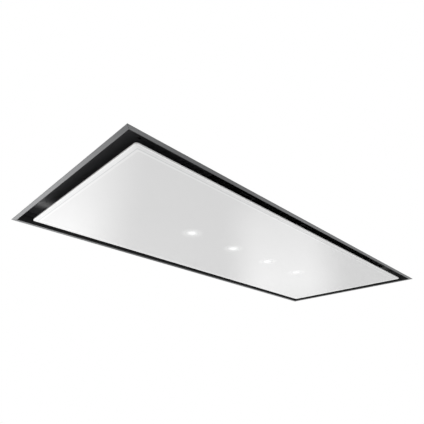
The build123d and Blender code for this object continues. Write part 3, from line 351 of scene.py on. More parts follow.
def dark_wall_tape_for_shade(low, high):
    """Tape along the four walls inside a tray with those corners, its black standing in for painted shade.
    """
    shape = bmesh.new()
    x, y = high.x - TRAY_WALL, high.y - TRAY_WALL
    for side in (-1, 1):
        near, far = sorted((side * (y - SEAL_THICKNESS), side * y))
        slab(shape, (-x, near, SEAL_LOW), (x, far, SEAL_HIGH))
        near, far = sorted((side * (x - SEAL_THICKNESS), side * x))
        slab(shape, (near, SEAL_THICKNESS - y, SEAL_LOW), (far, y - SEAL_THICKNESS, SEAL_HIGH))
    return shape


foam = foam_tape()
dress(powder_coat(), "recess_tray", "filter_dividers")
seal = mesh_piece("dark_wall_tape_for_shade", dark_wall_tape_for_shade(*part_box("recess_tray")), foam)
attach(seal, "housing")


# ==== Housing ====
# The box above the ceiling is galvanised steel sheet: one wrapped piece for the long sides and
# top, and an end panel riveted to its folds at each end.
SPANGLE_MM = 10.0
RIVET_RADIUS = 0.0032
RIVET_DOME = 0.0013
RIVET_SPACING = 0.095
RIVET_MARGIN = 0.03
UPRIGHT_SPACING = 0.06
UPRIGHT_LOW = 0.04
UPRIGHT_MARGIN = 0.012
FOLD_MIDDLE = 0.006
HEAD_SIDES = 12
HEAD_RIM = 0.25
HEAD_FLAT = 0.12
CROSS_REACH = 0.62


def galvanised_steel():
    """Hot-dip galvanised steel: zinc crystals a centimetre or so across, each with its own grey
    and its own dullness, and faint rolling streaks."""
    made, tree, place = new_material("galvanised_steel")
    warp = add(tree, "ShaderNodeTexNoise", {"Vector": place, "Scale": mm(20), "Detail": 2.0})
    bent = add(tree, "ShaderNodeMix", {0: 0.012, 4: place, 5: warp.outputs["Color"]}, data_type="VECTOR")
    crystal = add(tree, "ShaderNodeTexVoronoi", {"Vector": bent.outputs[1], "Scale": mm(SPANGLE_MM)})
    facet = add(tree, "ShaderNodeSeparateColor", {"Color": crystal.outputs["Color"]})
    fern = add(tree, "ShaderNodeTexNoise", {"Vector": place, "Scale": mm(3), "Detail": 4.0})
    mixed = add(tree, "ShaderNodeMix", {0: 0.3, 2: facet.outputs[0], 3: fern.outputs["Fac"]})
    tone = add(tree, "ShaderNodeMix", {
        "Factor": mixed.outputs[0], 6: colour("999D9F"), 7: colour("B3B6B8")}, data_type="RGBA")
    matt = add(tree, "ShaderNodeMapRange", {"Value": facet.outputs[1], "To Min": 0.34, "To Max": 0.48})
    grain = add(tree, "ShaderNodeBump", {"Height": mixed.outputs[0], "Strength": 0.12, "Distance": 0.0002})
    skin = add(tree, "ShaderNodeBsdfPrincipled", {
        "Base Color": tone.outputs[2], "Metallic": 0.9, "Roughness": matt.outputs[0],
        "Normal": grain.outputs[0]})
    add(tree, "ShaderNodeOutputMaterial", {"Surface": skin.outputs[0]})
    return made


def turned_heads(name, places, profile, material, body, cross=0.0, sides=HEAD_SIDES):
    """Screws or rivets: one turned profile set at each (point, direction). Points of the profile
    are (radius, height). A cross above 0 sinks a cross-shaped recess of that depth."""
    shape = bmesh.new()
    for point, direction in places:
        stand = Vector(direction).to_track_quat("Z", "Y").to_matrix()
        rings = []
        for radius, height in profile:
            ring = []
            for i in range(sides):
                angle = 2 * math.pi * i / sides
                in_cross = radius < profile[0][0] * CROSS_REACH and i % (sides // 4) == 0
                sunk = cross if in_cross else 0.0
                local = Vector((radius * math.cos(angle), radius * math.sin(angle), height - sunk))
                ring.append(shape.verts.new(Vector(point) + stand @ local))
            rings.append(ring)
        for lower, upper in zip(rings, rings[1:]):
            for i in range(sides):
                j = (i + 1) % sides
                shape.faces.new((lower[i], lower[j], upper[j], upper[i]))
        shape.faces.new(rings[-1])
        shape.faces.new(list(reversed(rings[0])))
    made = mesh_piece(name, shape, material)
    made.data.shade_smooth()
    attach(made, body)


def dome(radius, height, steps=4):
    """The profile of a domed head, from its straight rim to the small flat on its crown."""
    profile = [(radius, 0.0)]
    for i in range(steps):
        angle = math.pi / 2 * i / steps
        profile.append((radius * math.cos(angle), height * (HEAD_RIM + (1 - HEAD_RIM) * math.sin(angle))))
    return profile + [(radius * HEAD_FLAT, height)]


def spread(low, high, spacing, margin):
    """Evenly spaced places between two ends, at about that spacing."""
    count = max(2, round((high - low - 2 * margin) / spacing) + 1)
    return [low + margin + (high - low - 2 * margin) * i / (count - 1) for i in range(count)]


galvanised = galvanised_steel()
dress(galvanised, "housing_wrap", "end_panel_left", "end_panel_right")
housing_low, housing_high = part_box("housing_wrap")
rivets = []
for side in (-1, 1):
    fold_x = side * (housing_high.x - FOLD_MIDDLE)
    for y in spread(housing_low.y, housing_high.y, RIVET_SPACING, RIVET_MARGIN):
        rivets.append(((fold_x, y, housing_high.z), (0, 0, 1)))
    for z in spread(UPRIGHT_LOW, housing_high.z, UPRIGHT_SPACING, UPRIGHT_MARGIN):
        rivets.append(((fold_x, housing_low.y, z), (0, -1, 0)))
        rivets.append(((fold_x, housing_high.y, z), (0, 1, 0)))


def zinc_plate():
    """Zinc-plated steel, passivated: bright grey with a faint yellow and blue bloom."""
    made, tree, place = new_material("zinc_plated_steel")
    bloom = add(tree, "ShaderNodeTexNoise", {"Vector": place, "Scale": mm(9), "Detail": 3.0})
    tone = add(tree, "ShaderNodeMix", {
        "Factor": bloom.outputs["Fac"], 6: colour("B7B6AE"), 7: colour("A9AFB8")}, data_type="RGBA")
    matt = add(tree, "ShaderNodeMapRange", {"Value": bloom.outputs["Fac"], "To Min": 0.24, "To Max": 0.40})
    grain = add(tree, "ShaderNodeBump", {
        "Height": bloom.outputs["Fac"], "Strength": 0.1, "Distance": 0.0002})
    skin = add(tree, "ShaderNodeBsdfPrincipled", {
        "Base Color": tone.outputs[2], "Metallic": 1.0, "Roughness": matt.outputs[0],
        "Normal": grain.outputs[0]})
    add(tree, "ShaderNodeOutputMaterial", {"Surface": skin.outputs[0]})
    return made


zinc = zinc_plate()
turned_heads("housing_rivets", rivets, dome(RIVET_RADIUS, RIVET_DOME), zinc, "housing")


# ==== Grease filters ====
# Three cassettes of black anodised aluminium. Each has a channel frame round several layers of
# expanded mesh. The face layer is drawn as real strands, the layers behind it as one mat painted dark for
# the shade among them.
CELL_WIDTH = 0.0132
CELL_HEIGHT = 0.0070
STRAND = 0.0012
MAT_DEPTH = 0.0022
MAT_GAP = 0.0005


def black_anodising():
    """Black anodised aluminium: a satin metal under a dyed skin, faintly green in the light."""
    made, tree, place = new_material("black_anodised_aluminium")
    cloud = add(tree, "ShaderNodeTexNoise", {"Vector": place, "Scale": mm(30), "Detail": 4.0})
    tone = add(tree, "ShaderNodeMix", {
        "Factor": cloud.outputs["Fac"], 6: colour("1C1E1D"), 7: colour("282B29")}, data_type="RGBA")
    matt = add(tree, "ShaderNodeMapRange", {"Value": cloud.outputs["Fac"], "To Min": 0.32, "To Max": 0.46})
    scratch = add(tree, "ShaderNodeTexNoise", {"Vector": place, "Scale": mm(0.8), "Detail": 2.0})
    grain = add(tree, "ShaderNodeBump", {
        "Height": scratch.outputs["Fac"], "Strength": 0.15, "Distance": 0.0001})
    skin = add(tree, "ShaderNodeBsdfPrincipled", {
        "Base Color": tone.outputs[2], "Metallic": 0.6, "Roughness": matt.outputs[0],
        "Normal": grain.outputs[0]})
    add(tree, "ShaderNodeOutputMaterial", {"Surface": skin.outputs[0]})
    return made


def shaded_knitted_mat():
    """The inner layers of mesh, seen through the first: a tangle of diamond strands, painted darker than
    the face layer, with near-black gaps, as painted shade.
    """
    made, tree, place = new_material("shaded_layered_mesh_mat")
    squeezed = add(tree, "ShaderNodeMapping", {"Vector": place, "Scale": (mm(7), mm(4), mm(7))})
    cell = add(tree, "ShaderNodeTexVoronoi", {"Vector": squeezed.outputs[0], "Scale": 1.0},
               feature="DISTANCE_TO_EDGE")
    strand = add(tree, "ShaderNodeMapRange", {
        "Value": cell.outputs["Distance"], "From Max": 0.18, "To Min": 1.0, "To Max": 0.0})
    # Painted shade: near-black gaps, and strands darker than the face layer's anodising.
    tone = add(tree, "ShaderNodeMix", {
        "Factor": strand.outputs[0], 6: colour("020202"), 7: colour("121413")}, data_type="RGBA")
    relief = add(tree, "ShaderNodeBump", {"Height": strand.outputs[0], "Strength": 0.8, "Distance": 0.001})
    skin = add(tree, "ShaderNodeBsdfPrincipled", {
        "Base Color": tone.outputs[2], "Metallic": 0.5, "Roughness": 0.5, "Normal": relief.outputs[0]})
    add(tree, "ShaderNodeOutputMaterial", {"Surface": skin.outputs[0]})
    return made


def moulded_plastic(name, dark, pale, grain_mm, grain_detail, cloud_mm, matt_low, matt_high):
    """A moulded plastic: nearly even in colour and matt, with the fine grain of a spark-eroded mould."""
    made, tree, place = new_material(name)
    spark = add(tree, "ShaderNodeTexNoise", {
        "Vector": place, "Scale": mm(grain_mm), "Detail": grain_detail})
    cloud = add(tree, "ShaderNodeTexNoise", {"Vector": place, "Scale": mm(cloud_mm), "Detail": 2.0})
    tone = add(tree, "ShaderNodeMix", {
        "Factor": cloud.outputs["Fac"], 6: colour(dark), 7: colour(pale)}, data_type="RGBA")
    matt = add(tree, "ShaderNodeMapRange", {
        "Value": cloud.outputs["Fac"], "To Min": matt_low, "To Max": matt_high})
    grain = add(tree, "ShaderNodeBump", {
        "Height": spark.outputs["Fac"], "Strength": 0.3, "Distance": 0.0001})
    skin = add(tree, "ShaderNodeBsdfPrincipled", {
        "Base Color": tone.outputs[2], "Roughness": matt.outputs[0], "IOR": 1.53,
        "Normal": grain.outputs[0]})
    add(tree, "ShaderNodeOutputMaterial", {"Surface": skin.outputs[0]})
    return made


def expanded_face(low, high, handle_low, handle_high, z):
    """Diamond cells between two corners, leaving out those over the handle."""
    shape = bmesh.new()
    joints = {}

    def joint(i, j):
        if (i, j) not in joints:
            x = low.x + i * CELL_WIDTH / 2
            y = low.y + j * CELL_HEIGHT / 2
            joints[i, j] = shape.verts.new((x, y, z))
        return joints[i, j]

    columns = int((high.x - low.x) / (CELL_WIDTH / 2))
    rows = int((high.y - low.y) / (CELL_HEIGHT / 2))
    for i in range(1, columns):
        for j in range(1, rows):
            x = low.x + i * CELL_WIDTH / 2
            y = low.y + j * CELL_HEIGHT / 2
            beside = handle_low.x - CELL_WIDTH < x < handle_high.x + CELL_WIDTH
            on_handle = beside and y < handle_high.y + CELL_HEIGHT
            if (i + j) % 2 == 1 and not on_handle:
                shape.faces.new((joint(i - 1, j), joint(i, j - 1), joint(i + 1, j), joint(i, j + 1)))
    return shape


anodised = black_anodising()
shaded_mat_material = shaded_knitted_mat()
black_plastic = moulded_plastic("moulded_black_polyamide", "161616", "1D1D1E", 0.6, 2.0, 25, 0.42, 0.55)
grey_plastic = moulded_plastic("moulded_grey_abs", "4B4D4F", "55575A", 0.8, 3.0, 40, 0.45, 0.58)
for number in (1, 2, 3):
    dress(anodised, f"filter_frame_{number}")
    dress(black_plastic, f"filter_handle_{number}")
    dress(grey_plastic, f"filter_latch_{number}")
    low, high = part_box(f"filter_mesh_{number}")
    handle_low, handle_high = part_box(f"filter_handle_{number}")
    cells = expanded_face(low, high, handle_low, handle_high, low.z + STRAND / 2)
    face = mesh_piece(f"filter_face_{number}", cells, anodised)
    strands = face.modifiers.new("strands", "WIREFRAME")
    strands.thickness = STRAND
    strands.use_even_offset = False
    layers = bmesh.new()
    past_handle = handle_high.y + MAT_GAP
    slab(layers, (low.x, past_handle, low.z + MAT_DEPTH), high)
    for x_low, x_high in ((low.x, handle_low.x - MAT_GAP), (handle_high.x + MAT_GAP, high.x)):
        slab(layers, (x_low, low.y, low.z + MAT_DEPTH), (x_high, past_handle, high.z))
    mat = mesh_piece(f"filter_mat_{number}", layers, shaded_mat_material)
    for piece in (face, mat):
        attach(piece, "housing")
        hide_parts(f"filter_mesh_{number}")


# ==== Motor box ====
# A box of galvanised sheet over the blower, screwed to the housing through its outward fold. Its
# lid is a shallow tray that is screwed on through its lip.
SCREW_HEAD = 0.0041
SCREW_DOME = 0.0022
SCREW_CROSS = 0.0009
FOLD_WIDTH = 0.015
FOLD_SHEET = 0.001
FOLD_SPACING = 0.09
FOLD_END_MARGIN = 0.012
FOLD_SIDE_MARGIN = 0.03
LIP_DROP = 0.007
LIP_SPACING = 0.13
LIP_MARGIN = 0.03
COLLAR_SIDE = 0.1


def screw_heads(name, places, material=zinc):
    """Pan-head screws with a cross recess, in the parts that stay in the ceiling."""
    turned_heads(name, places, dome(SCREW_HEAD, SCREW_DOME), material, "housing", cross=SCREW_CROSS)


dress(galvanised, "motor_box", "motor_box_lid")
box_low, box_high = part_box("motor_box")
lid_low, lid_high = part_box("motor_box_lid")
fold_top = housing_high.z + FOLD_SHEET
screws = []
for x in spread(box_low.x, box_high.x, FOLD_SPACING, FOLD_END_MARGIN):
    screws.append(((x, box_low.y + FOLD_WIDTH / 2, fold_top), (0, 0, 1)))
    screws.append(((x, box_high.y - FOLD_WIDTH / 2, fold_top), (0, 0, 1)))
for y in spread(box_low.y, box_high.y, FOLD_SPACING, FOLD_SIDE_MARGIN)[1:-1]:
    screws.append(((box_low.x + FOLD_WIDTH / 2, y, fold_top), (0, 0, 1)))
    screws.append(((box_high.x - FOLD_WIDTH / 2, y, fold_top), (0, 0, 1)))
lip_z = lid_high.z - LIP_DROP
for x in spread(lid_low.x, lid_high.x, LIP_SPACING, LIP_MARGIN):
    screws.append(((x, lid_low.y, lip_z), (0, -1, 0)))
    if abs(x) > COLLAR_SIDE:
        screws.append(((x, lid_high.y, lip_z), (0, 1, 0)))
for y in spread(lid_low.y, lid_high.y, LIP_SPACING, LIP_MARGIN):
    screws.append(((lid_low.x, y, lip_z), (-1, 0, 0)))
    screws.append(((lid_high.x, y, lip_z), (1, 0, 0)))
screw_heads("motor_box_screws", screws)


# ==== Blower ====
# A scroll of galvanised sheet with an inlet in each side, a double-width impeller of rolled
# blades, and a black enamelled motor on a zinc-plated carrier.
def ground_bar():
    """Ground steel bar: bright, with fine rings from the grinding wheel."""
    made, tree, place = new_material("ground_steel")
    ring = add(tree, "ShaderNodeTexNoise", {"Vector": place, "Scale": mm(0.7), "Detail": 2.0})
    matt = add(tree, "ShaderNodeMapRange", {"Value": ring.outputs["Fac"], "To Min": 0.16, "To Max": 0.28})
    skin = add(tree, "ShaderNodeBsdfPrincipled", {
        "Base Color": colour("C4C5C6"), "Metallic": 1.0, "Roughness": matt.outputs[0]})
    add(tree, "ShaderNodeOutputMaterial", {"Surface": skin.outputs[0]})
    return made


def motor_enamel():
    """Stoved enamel on a drawn steel can: black, smooth and half gloss."""
    made, tree, place = new_material("motor_enamel")
    cloud = add(tree, "ShaderNodeTexNoise", {"Vector": place, "Scale": mm(12), "Detail": 3.0})
    tone = add(tree, "ShaderNodeMix", {
        "Factor": cloud.outputs["Fac"], 6: colour("262728"), 7: colour("303132")}, data_type="RGBA")
    skin = add(tree, "ShaderNodeBsdfPrincipled", {"Base Color": tone.outputs[2], "Roughness": 0.3})
    add(tree, "ShaderNodeOutputMaterial", {"Surface": skin.outputs[0]})
    return made


ground_steel = ground_bar()
dress(galvanised, "blower_scroll", "scroll_side_left", "scroll_side_right", "impeller")
dress(zinc, "motor_bracket")
dress(motor_enamel(), "fan_motor")
dress(ground_steel, "motor_shaft")


# ==== Air outlet ====
# A moulded adapter inside the box leads to a moulded collar for a round duct. Two half-disc flaps
# on an upright axle close the collar when the fan stops.
COLLAR_RADIUS = 0.0745
COLLAR_PLATE = 0.0025
COLLAR_SCREW_INSET = 0.0095
BEAD_PROUD = 0.0012
BEAD_SUNK = 0.0002
BEAD_WIDTH = 0.003
BEAD_INSETS = (0.008, 0.030)
dress(black_plastic, "outlet_adapter", "outlet_collar")
dress(grey_plastic, "flap_left", "flap_right")
dress(ground_steel, "flap_axle")
collar_low, collar_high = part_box("outlet_collar")
collar_z = (collar_low.z + collar_high.z) / 2
collar_screws = []
for x in (collar_low.x + COLLAR_SCREW_INSET, collar_high.x - COLLAR_SCREW_INSET):
    for z in (collar_low.z + COLLAR_SCREW_INSET, collar_high.z - COLLAR_SCREW_INSET):
        collar_screws.append(((x, collar_low.y + COLLAR_PLATE, z), (0, 1, 0)))
screw_heads("collar_screws", collar_screws)


def collar_rings(starts, radius, profile, sides=72):
    """Beads round the collar: a profile of (proud, along) points swept round its axis."""
    shape = bmesh.new()
    for start in starts:
        rings = []
        for i in range(sides):
            angle = 2 * math.pi * i / sides
            ring = []
            for proud, along in profile:
                reach = radius + proud
                place = (reach * math.cos(angle), start + along, collar_z + reach * math.sin(angle))
                ring.append(shape.verts.new(place))
            rings.append(ring)
        for i in range(sides):
            here, there = rings[i], rings[(i + 1) % sides]
            for j in range(len(profile) - 1):
                shape.faces.new((here[j], here[j + 1], there[j + 1], there[j]))
    return shape


bead_profile = [(-BEAD_SUNK, 0.0), (BEAD_PROUD * 0.7, BEAD_WIDTH * 0.2), (BEAD_PROUD, BEAD_WIDTH * 0.5),
                (BEAD_PROUD * 0.7, BEAD_WIDTH * 0.8), (-BEAD_SUNK, BEAD_WIDTH)]
bead_starts = [collar_high.y - inset for inset in BEAD_INSETS]
beads = mesh_piece("collar_beads", collar_rings(bead_starts, COLLAR_RADIUS, bead_profile), black_plastic)
beads.data.shade_smooth()
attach(beads, "housing")


# ==== Control box ====
# A moulded box with a screwed lid holds the fan's control board, the driver of the lamps and the
# mains terminals. The mains cable comes in through a gland in its rear wall.
COVER_SCREW_INSET = 0.009
COVER_SCREW_SPACING = 0.16


def circuit_board():
    """Glass-epoxy board under green solder mask, glossy, with a faint pattern of tracks."""
    made, tree, place = new_material("green_solder_mask")
    track = add(tree, "ShaderNodeTexVoronoi", {"Vector": place, "Scale": mm(5)},
                distance="MANHATTAN", feature="DISTANCE_TO_EDGE")
    line = add(tree, "ShaderNodeMath", {0: track.outputs["Distance"], 1: 0.12}, operation="LESS_THAN")
    tone = add(tree, "ShaderNodeMix", {
        "Factor": line.outputs[0], 6: colour("1D6B3A"), 7: colour("2C8A4E")}, data_type="RGBA")
    skin = add(tree, "ShaderNodeBsdfPrincipled", {"Base Color": tone.outputs[2], "Roughness": 0.3})
    add(tree, "ShaderNodeOutputMaterial", {"Surface": skin.outputs[0]})
    return made


def white_nylon():
    """Nylon, moulded in natural white: soft looking and slightly warm."""
    made, tree, place = new_material("white_nylon")
    cloud = add(tree, "ShaderNodeTexNoise", {"Vector": place, "Scale": mm(8), "Detail": 2.0})
    tone = add(tree, "ShaderNodeMix", {
        "Factor": cloud.outputs["Fac"], 6: colour("E2E0DA"), 7: colour("EBEAE5")}, data_type="RGBA")
    skin = add(tree, "ShaderNodeBsdfPrincipled", {
        "Base Color": tone.outputs[2], "Roughness": 0.45, "Subsurface Weight": 0.05, "IOR": 1.53})
    add(tree, "ShaderNodeOutputMaterial", {"Surface": skin.outputs[0]})
    return made


nylon = white_nylon()
dress(grey_plastic, "control_box", "control_box_lid")
dress(circuit_board(), "control_board")
dress(nylon, "led_driver", "terminal_block")
dress(black_plastic, "cable_gland")
cover_low, cover_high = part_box("control_box_lid")
cover_screws = []
for x in spread(cover_low.x, cover_high.x, COVER_SCREW_SPACING, COVER_SCREW_INSET):
    for y in (cover_low.y + COVER_SCREW_INSET, 0.0, cover_high.y - COVER_SCREW_INSET):
        cover_screws.append(((x, y, cover_high.z), (0, 0, 1)))
screw_heads("cover_screws", cover_screws)


# ==== Ceiling hangers ====
# Pressed angles of zinc-plated steel, one on the housing and one on the ceiling at each corner,
# bolted together through a slot that sets the height.
FOOT_SHEET = 0.002
FOOT_MIDDLE = 0.015
FOOT_SCREW_REACHES = (0.012, 0.028)
dress(zinc, "ceiling_brackets", "housing_brackets", "bracket_bolts")
hanger_low, hanger_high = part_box("housing_brackets")
foot_screws = []
for side_x in (-1, 1):
    for side_y in (-1, 1):
        for reach in FOOT_SCREW_REACHES:
            x = side_x * (hanger_high.x - reach)
            y = side_y * (hanger_high.y - FOOT_MIDDLE)
            foot_screws.append(((x, y, hanger_low.z + FOOT_SHEET), (0, 0, 1)))
screw_heads("hanger_foot_screws", foot_screws)


# ==== Glass panel ====
# Toughened float glass, 4 mm thick, painted white on its back, with a bevel ground round its lower
# edge. Four holes let the lamps sit flush with it.
# Painted light on the glass's front: a paler bevel band, a grey line of painted shade at its inner edge,
# and a painted highlight line beside it.
BEVEL_LINE = 0.0100
PAINTED_GREY_LINE_WIDTH = 0.0008
PAINTED_GLINT_LINE = 0.0138
PAINTED_GLINT_WIDTH = 0.0022
GROUND_EDGE = 0.0012
# The glass glows though it is no lamp: a painted glow along its ground edges and round each lamp.
PAINTED_EDGE_GLOW = 0.15
LAMP_PITCH = 0.1586
PAINTED_GLOW_START = 0.010
PAINTED_GLOW_END = 0.034
PAINTED_GLOW_PEAK = 0.13
pane_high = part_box("glass_pane")[1]


def from_nearest_lamp(tree, place):
    """The distance along the glass from the middle of the nearest of the four lamps."""
    axes = add(tree, "ShaderNodeSeparateXYZ", {"Vector": place})
    past = add(tree, "ShaderNodeMath", {0: axes.outputs["X"], 1: LAMP_PITCH / 2}, operation="SUBTRACT")
    near = add(tree, "ShaderNodeMath", {0: past.outputs[0], 1: LAMP_PITCH / 2}, operation="PINGPONG")
    wide = add(tree, "ShaderNodeMath", {0: axes.outputs["X"]}, operation="ABSOLUTE")
    outside = add(tree, "ShaderNodeMath", {0: wide.outputs[0], 1: LAMP_PITCH * 2}, operation="GREATER_THAN")
    across = add(tree, "ShaderNodeMath", {0: near.outputs[0], 1: outside.outputs[0]}, operation="ADD")
    flat = add(tree, "ShaderNodeCombineXYZ", {"X": across.outputs[0], "Y": axes.outputs["Y"]})
    return add(tree, "ShaderNodeVectorMath", {0: flat.outputs[0]}, operation="LENGTH")


def painted_glass():
    """White enamel seen through clear polished glass: a white body under a hard clear gloss. The
    bevel is painted as a paler band of light, with a painted grey line of shade at its inner edge and
    a painted highlight beside it. A painted glow, as emission, lights the glass a little round the lamps'
    rims and at its ground edges."""
    made, tree, place = new_material("white_back_painted_glass")
    axes = add(tree, "ShaderNodeSeparateXYZ", {"Vector": place})
    wide = add(tree, "ShaderNodeMath", {0: axes.outputs["X"]}, operation="ABSOLUTE")
    deep = add(tree, "ShaderNodeMath", {0: axes.outputs["Y"]}, operation="ABSOLUTE")
    from_end = add(tree, "ShaderNodeMath", {0: pane_high.x, 1: wide.outputs[0]}, operation="SUBTRACT")
    from_side = add(tree, "ShaderNodeMath", {0: pane_high.y, 1: deep.outputs[0]}, operation="SUBTRACT")
    inset = add(tree, "ShaderNodeMath", {
        0: from_end.outputs[0], 1: from_side.outputs[0]}, operation="MINIMUM")
    front = add(tree, "ShaderNodeMath", {0: axes.outputs["Z"], 1: 0.0}, operation="LESS_THAN")
    cloud = add(tree, "ShaderNodeTexNoise", {"Vector": place, "Scale": mm(200), "Detail": 2.0})
    tone = add(tree, "ShaderNodeMix", {
        "Factor": cloud.outputs["Fac"], 6: colour("F1F1F1"), 7: colour("F3F3F3")}, data_type="RGBA")
    # The bevel band, the grey line and the glint are painted light and shade, on the front face only.
    bevel = add(tree, "ShaderNodeMath", {0: inset.outputs[0], 1: BEVEL_LINE}, operation="LESS_THAN")
    line = add(tree, "ShaderNodeMath", {
        0: inset.outputs[0], 1: BEVEL_LINE, 2: PAINTED_GREY_LINE_WIDTH}, operation="COMPARE")
    painted_glint = add(tree, "ShaderNodeMath", {
        0: inset.outputs[0], 1: PAINTED_GLINT_LINE, 2: PAINTED_GLINT_WIDTH}, operation="COMPARE")
    for band, hex_value in ((bevel, "F7F7F7"), (line, "E2E4E4"), (painted_glint, "FCFCFC")):
        seen = add(tree, "ShaderNodeMath", {0: band.outputs[0], 1: front.outputs[0]}, operation="MULTIPLY")
        tone = add(tree, "ShaderNodeMix", {
            "Factor": seen.outputs[0], 6: tone.outputs[2], 7: colour(hex_value)}, data_type="RGBA")
    # Painted glow: emission round each lamp's rim and along the ground edges of the glass.
    distance = from_nearest_lamp(tree, place)
    painted_lamp_glow = add(tree, "ShaderNodeMapRange", {
        "Value": distance.outputs["Value"], "From Min": PAINTED_GLOW_START, "From Max": PAINTED_GLOW_END,
        "To Min": PAINTED_GLOW_PEAK, "To Max": 0.0}, interpolation_type="SMOOTHSTEP")
    edge = add(tree, "ShaderNodeMapRange", {
        "Value": inset.outputs[0], "From Min": GROUND_EDGE, "From Max": 2 * GROUND_EDGE,
        "To Min": PAINTED_EDGE_GLOW, "To Max": 0.0})
    painted_glow_sum = add(tree, "ShaderNodeMath", {0: painted_lamp_glow.outputs[0], 1: edge.outputs[0]}, operation="ADD")
    skin = add(tree, "ShaderNodeBsdfPrincipled", {
        "Base Color": tone.outputs[2], "Roughness": 0.6, "Specular IOR Level": 0.2, "Coat Weight": 1.0,
        "Coat Roughness": 0.08, "Coat IOR": 1.52, "Emission Color": (1.0, 1.0, 1.0, 1.0),
        "Emission Strength": painted_glow_sum.outputs[0]})
    add(tree, "ShaderNodeOutputMaterial", {"Surface": skin.outputs[0]})
    return made


dress(painted_glass(), "glass_pane")


# ==== Panel carrier ====
# A shallow tray of galvanised sheet holds the glass on foam tape, with two hat-section ribs under
# the hinges and catches.
RIB_WIDTH = 0.044
RIB_FOOT = 0.010
RIB_SHEET = 0.0015
RIB_RIVET_SPACING = 0.09
RIB_RIVET_MARGIN = 0.02
dress(foam, "bonding_strips")
dress(galvanised, "panel_carrier", "carrier_ribs")
carrier_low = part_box("panel_carrier")[0]
rib_low, rib_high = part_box("carrier_ribs")
rib_x = rib_high.x - RIB_FOOT - RIB_WIDTH / 2
rib_rivets = []
for side in (-1, 1):
    for foot in (-1, 1):
        x = side * rib_x + foot * (RIB_WIDTH + RIB_FOOT) / 2
        for y in spread(rib_low.y, rib_high.y, RIB_RIVET_SPACING, RIB_RIVET_MARGIN):
            rib_rivets.append(((x, y, rib_low.z + RIB_SHEET), (0, 0, 1)))
turned_heads("rib_rivets", rib_rivets, dome(RIVET_RADIUS, RIVET_DOME), zinc, "panel")


# ==== Lamps ====
# Four round LED lamps: an opal lens flush in the glass, and a die-cast heat sink on the carrier
# with a plug-in lead.
LENS_CORE = 0.0
LENS_RIM = 0.0175
CORE_LIGHT = 0.52
RIM_LIGHT = 0.12


def opal_lens():
    """Opal polycarbonate with a light behind its middle: bright there, and down to the tone of the
    glass round it at the rim."""
    made, tree, place = new_material("opal_polycarbonate")
    distance = from_nearest_lamp(tree, place)
    strength = add(tree, "ShaderNodeMapRange", {
        "Value": distance.outputs["Value"], "From Min": LENS_CORE, "From Max": LENS_RIM,
        "To Min": CORE_LIGHT, "To Max": RIM_LIGHT}, interpolation_type="SMOOTHSTEP")
    skin = add(tree, "ShaderNodeBsdfPrincipled", {
        "Base Color": colour("E8E9E9"), "Roughness": 0.35, "IOR": 1.58,
        "Emission Color": (1.0, 1.0, 0.99, 1.0), "Emission Strength": strength.outputs[0]})
    add(tree, "ShaderNodeOutputMaterial", {"Surface": skin.outputs[0]})
    return made


def die_cast():
    """Die-cast aluminium, shot-blasted: pale grey, matt, with a faint grainy skin."""
    made, tree, place = new_material("die_cast_aluminium")
    blast = add(tree, "ShaderNodeTexNoise", {"Vector": place, "Scale": mm(0.7), "Detail": 3.0})
    cloud = add(tree, "ShaderNodeTexNoise", {"Vector": place, "Scale": mm(15), "Detail": 2.0})
    tone = add(tree, "ShaderNodeMix", {
        "Factor": cloud.outputs["Fac"], 6: colour("A7A8AA"), 7: colour("B9BABB")}, data_type="RGBA")
    grain = add(tree, "ShaderNodeBump", {
        "Height": blast.outputs["Fac"], "Strength": 0.3, "Distance": 0.0002})
    skin = add(tree, "ShaderNodeBsdfPrincipled", {
        "Base Color": tone.outputs[2], "Metallic": 1.0, "Roughness": 0.5, "Normal": grain.outputs[0]})
    add(tree, "ShaderNodeOutputMaterial", {"Surface": skin.outputs[0]})
    return made


dress(opal_lens(), "lamp_lenses")
cast = die_cast()
for number in (1, 2, 3, 4):
    dress(cast, f"lamp_body_{number}")


# ==== Hinges and catches ====
# Two hinges along the rear edge, of zinc-plated steel with ground pins, and two magnets at the
# front that hold steel strikers on the ribs. The straps are riveted, the rest is screwed.
STRAP_TOP = 0.0165
STRAP_RIVET = (0.0042, 0.0016)
STRAP_RIVET_STEPS = (0.012, 0.036, 0.060)
EAR_BASE_LOW = 0.026
EAR_SCREW = (0.0034, 0.0018)
EAR_SCREW_CROSS = 0.0008
EAR_SCREW_REACH = 0.0125
EAR_SCREW_Y = 0.1955
TRAY_DECK = 0.028
TRAY_SCREWS = ((0.545, -0.2), (0.545, 0.0), (0.545, 0.2), (0.392, -0.2), (0.392, 0.1))
dress(zinc, "hinge_arms", "hinge_brackets", "striker_plates")
dress(ground_steel, "hinge_pins")
dress(black_plastic, "catch_magnets")
arm_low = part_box("hinge_arms")[0]
strap_rivets = []
ear_screws = []
tray_screws = []
for side in (-1, 1):
    for step in STRAP_RIVET_STEPS:
        strap_rivets.append(((side * rib_x, arm_low.y + step, STRAP_TOP), (0, 0, 1)))
    for reach in (-EAR_SCREW_REACH, EAR_SCREW_REACH):
        ear_screws.append(((side * rib_x + reach, EAR_SCREW_Y, EAR_BASE_LOW), (0, 0, -1)))
    for x, y in TRAY_SCREWS:
        tray_screws.append(((side * x, y, TRAY_DECK), (0, 0, -1)))
turned_heads("strap_rivets", strap_rivets, dome(*STRAP_RIVET), zinc, "panel", sides=16)
turned_heads("hinge_screws", ear_screws, dome(*EAR_SCREW), zinc, "housing",
             cross=EAR_SCREW_CROSS)
screw_heads("tray_screws", tray_screws, black_plastic)


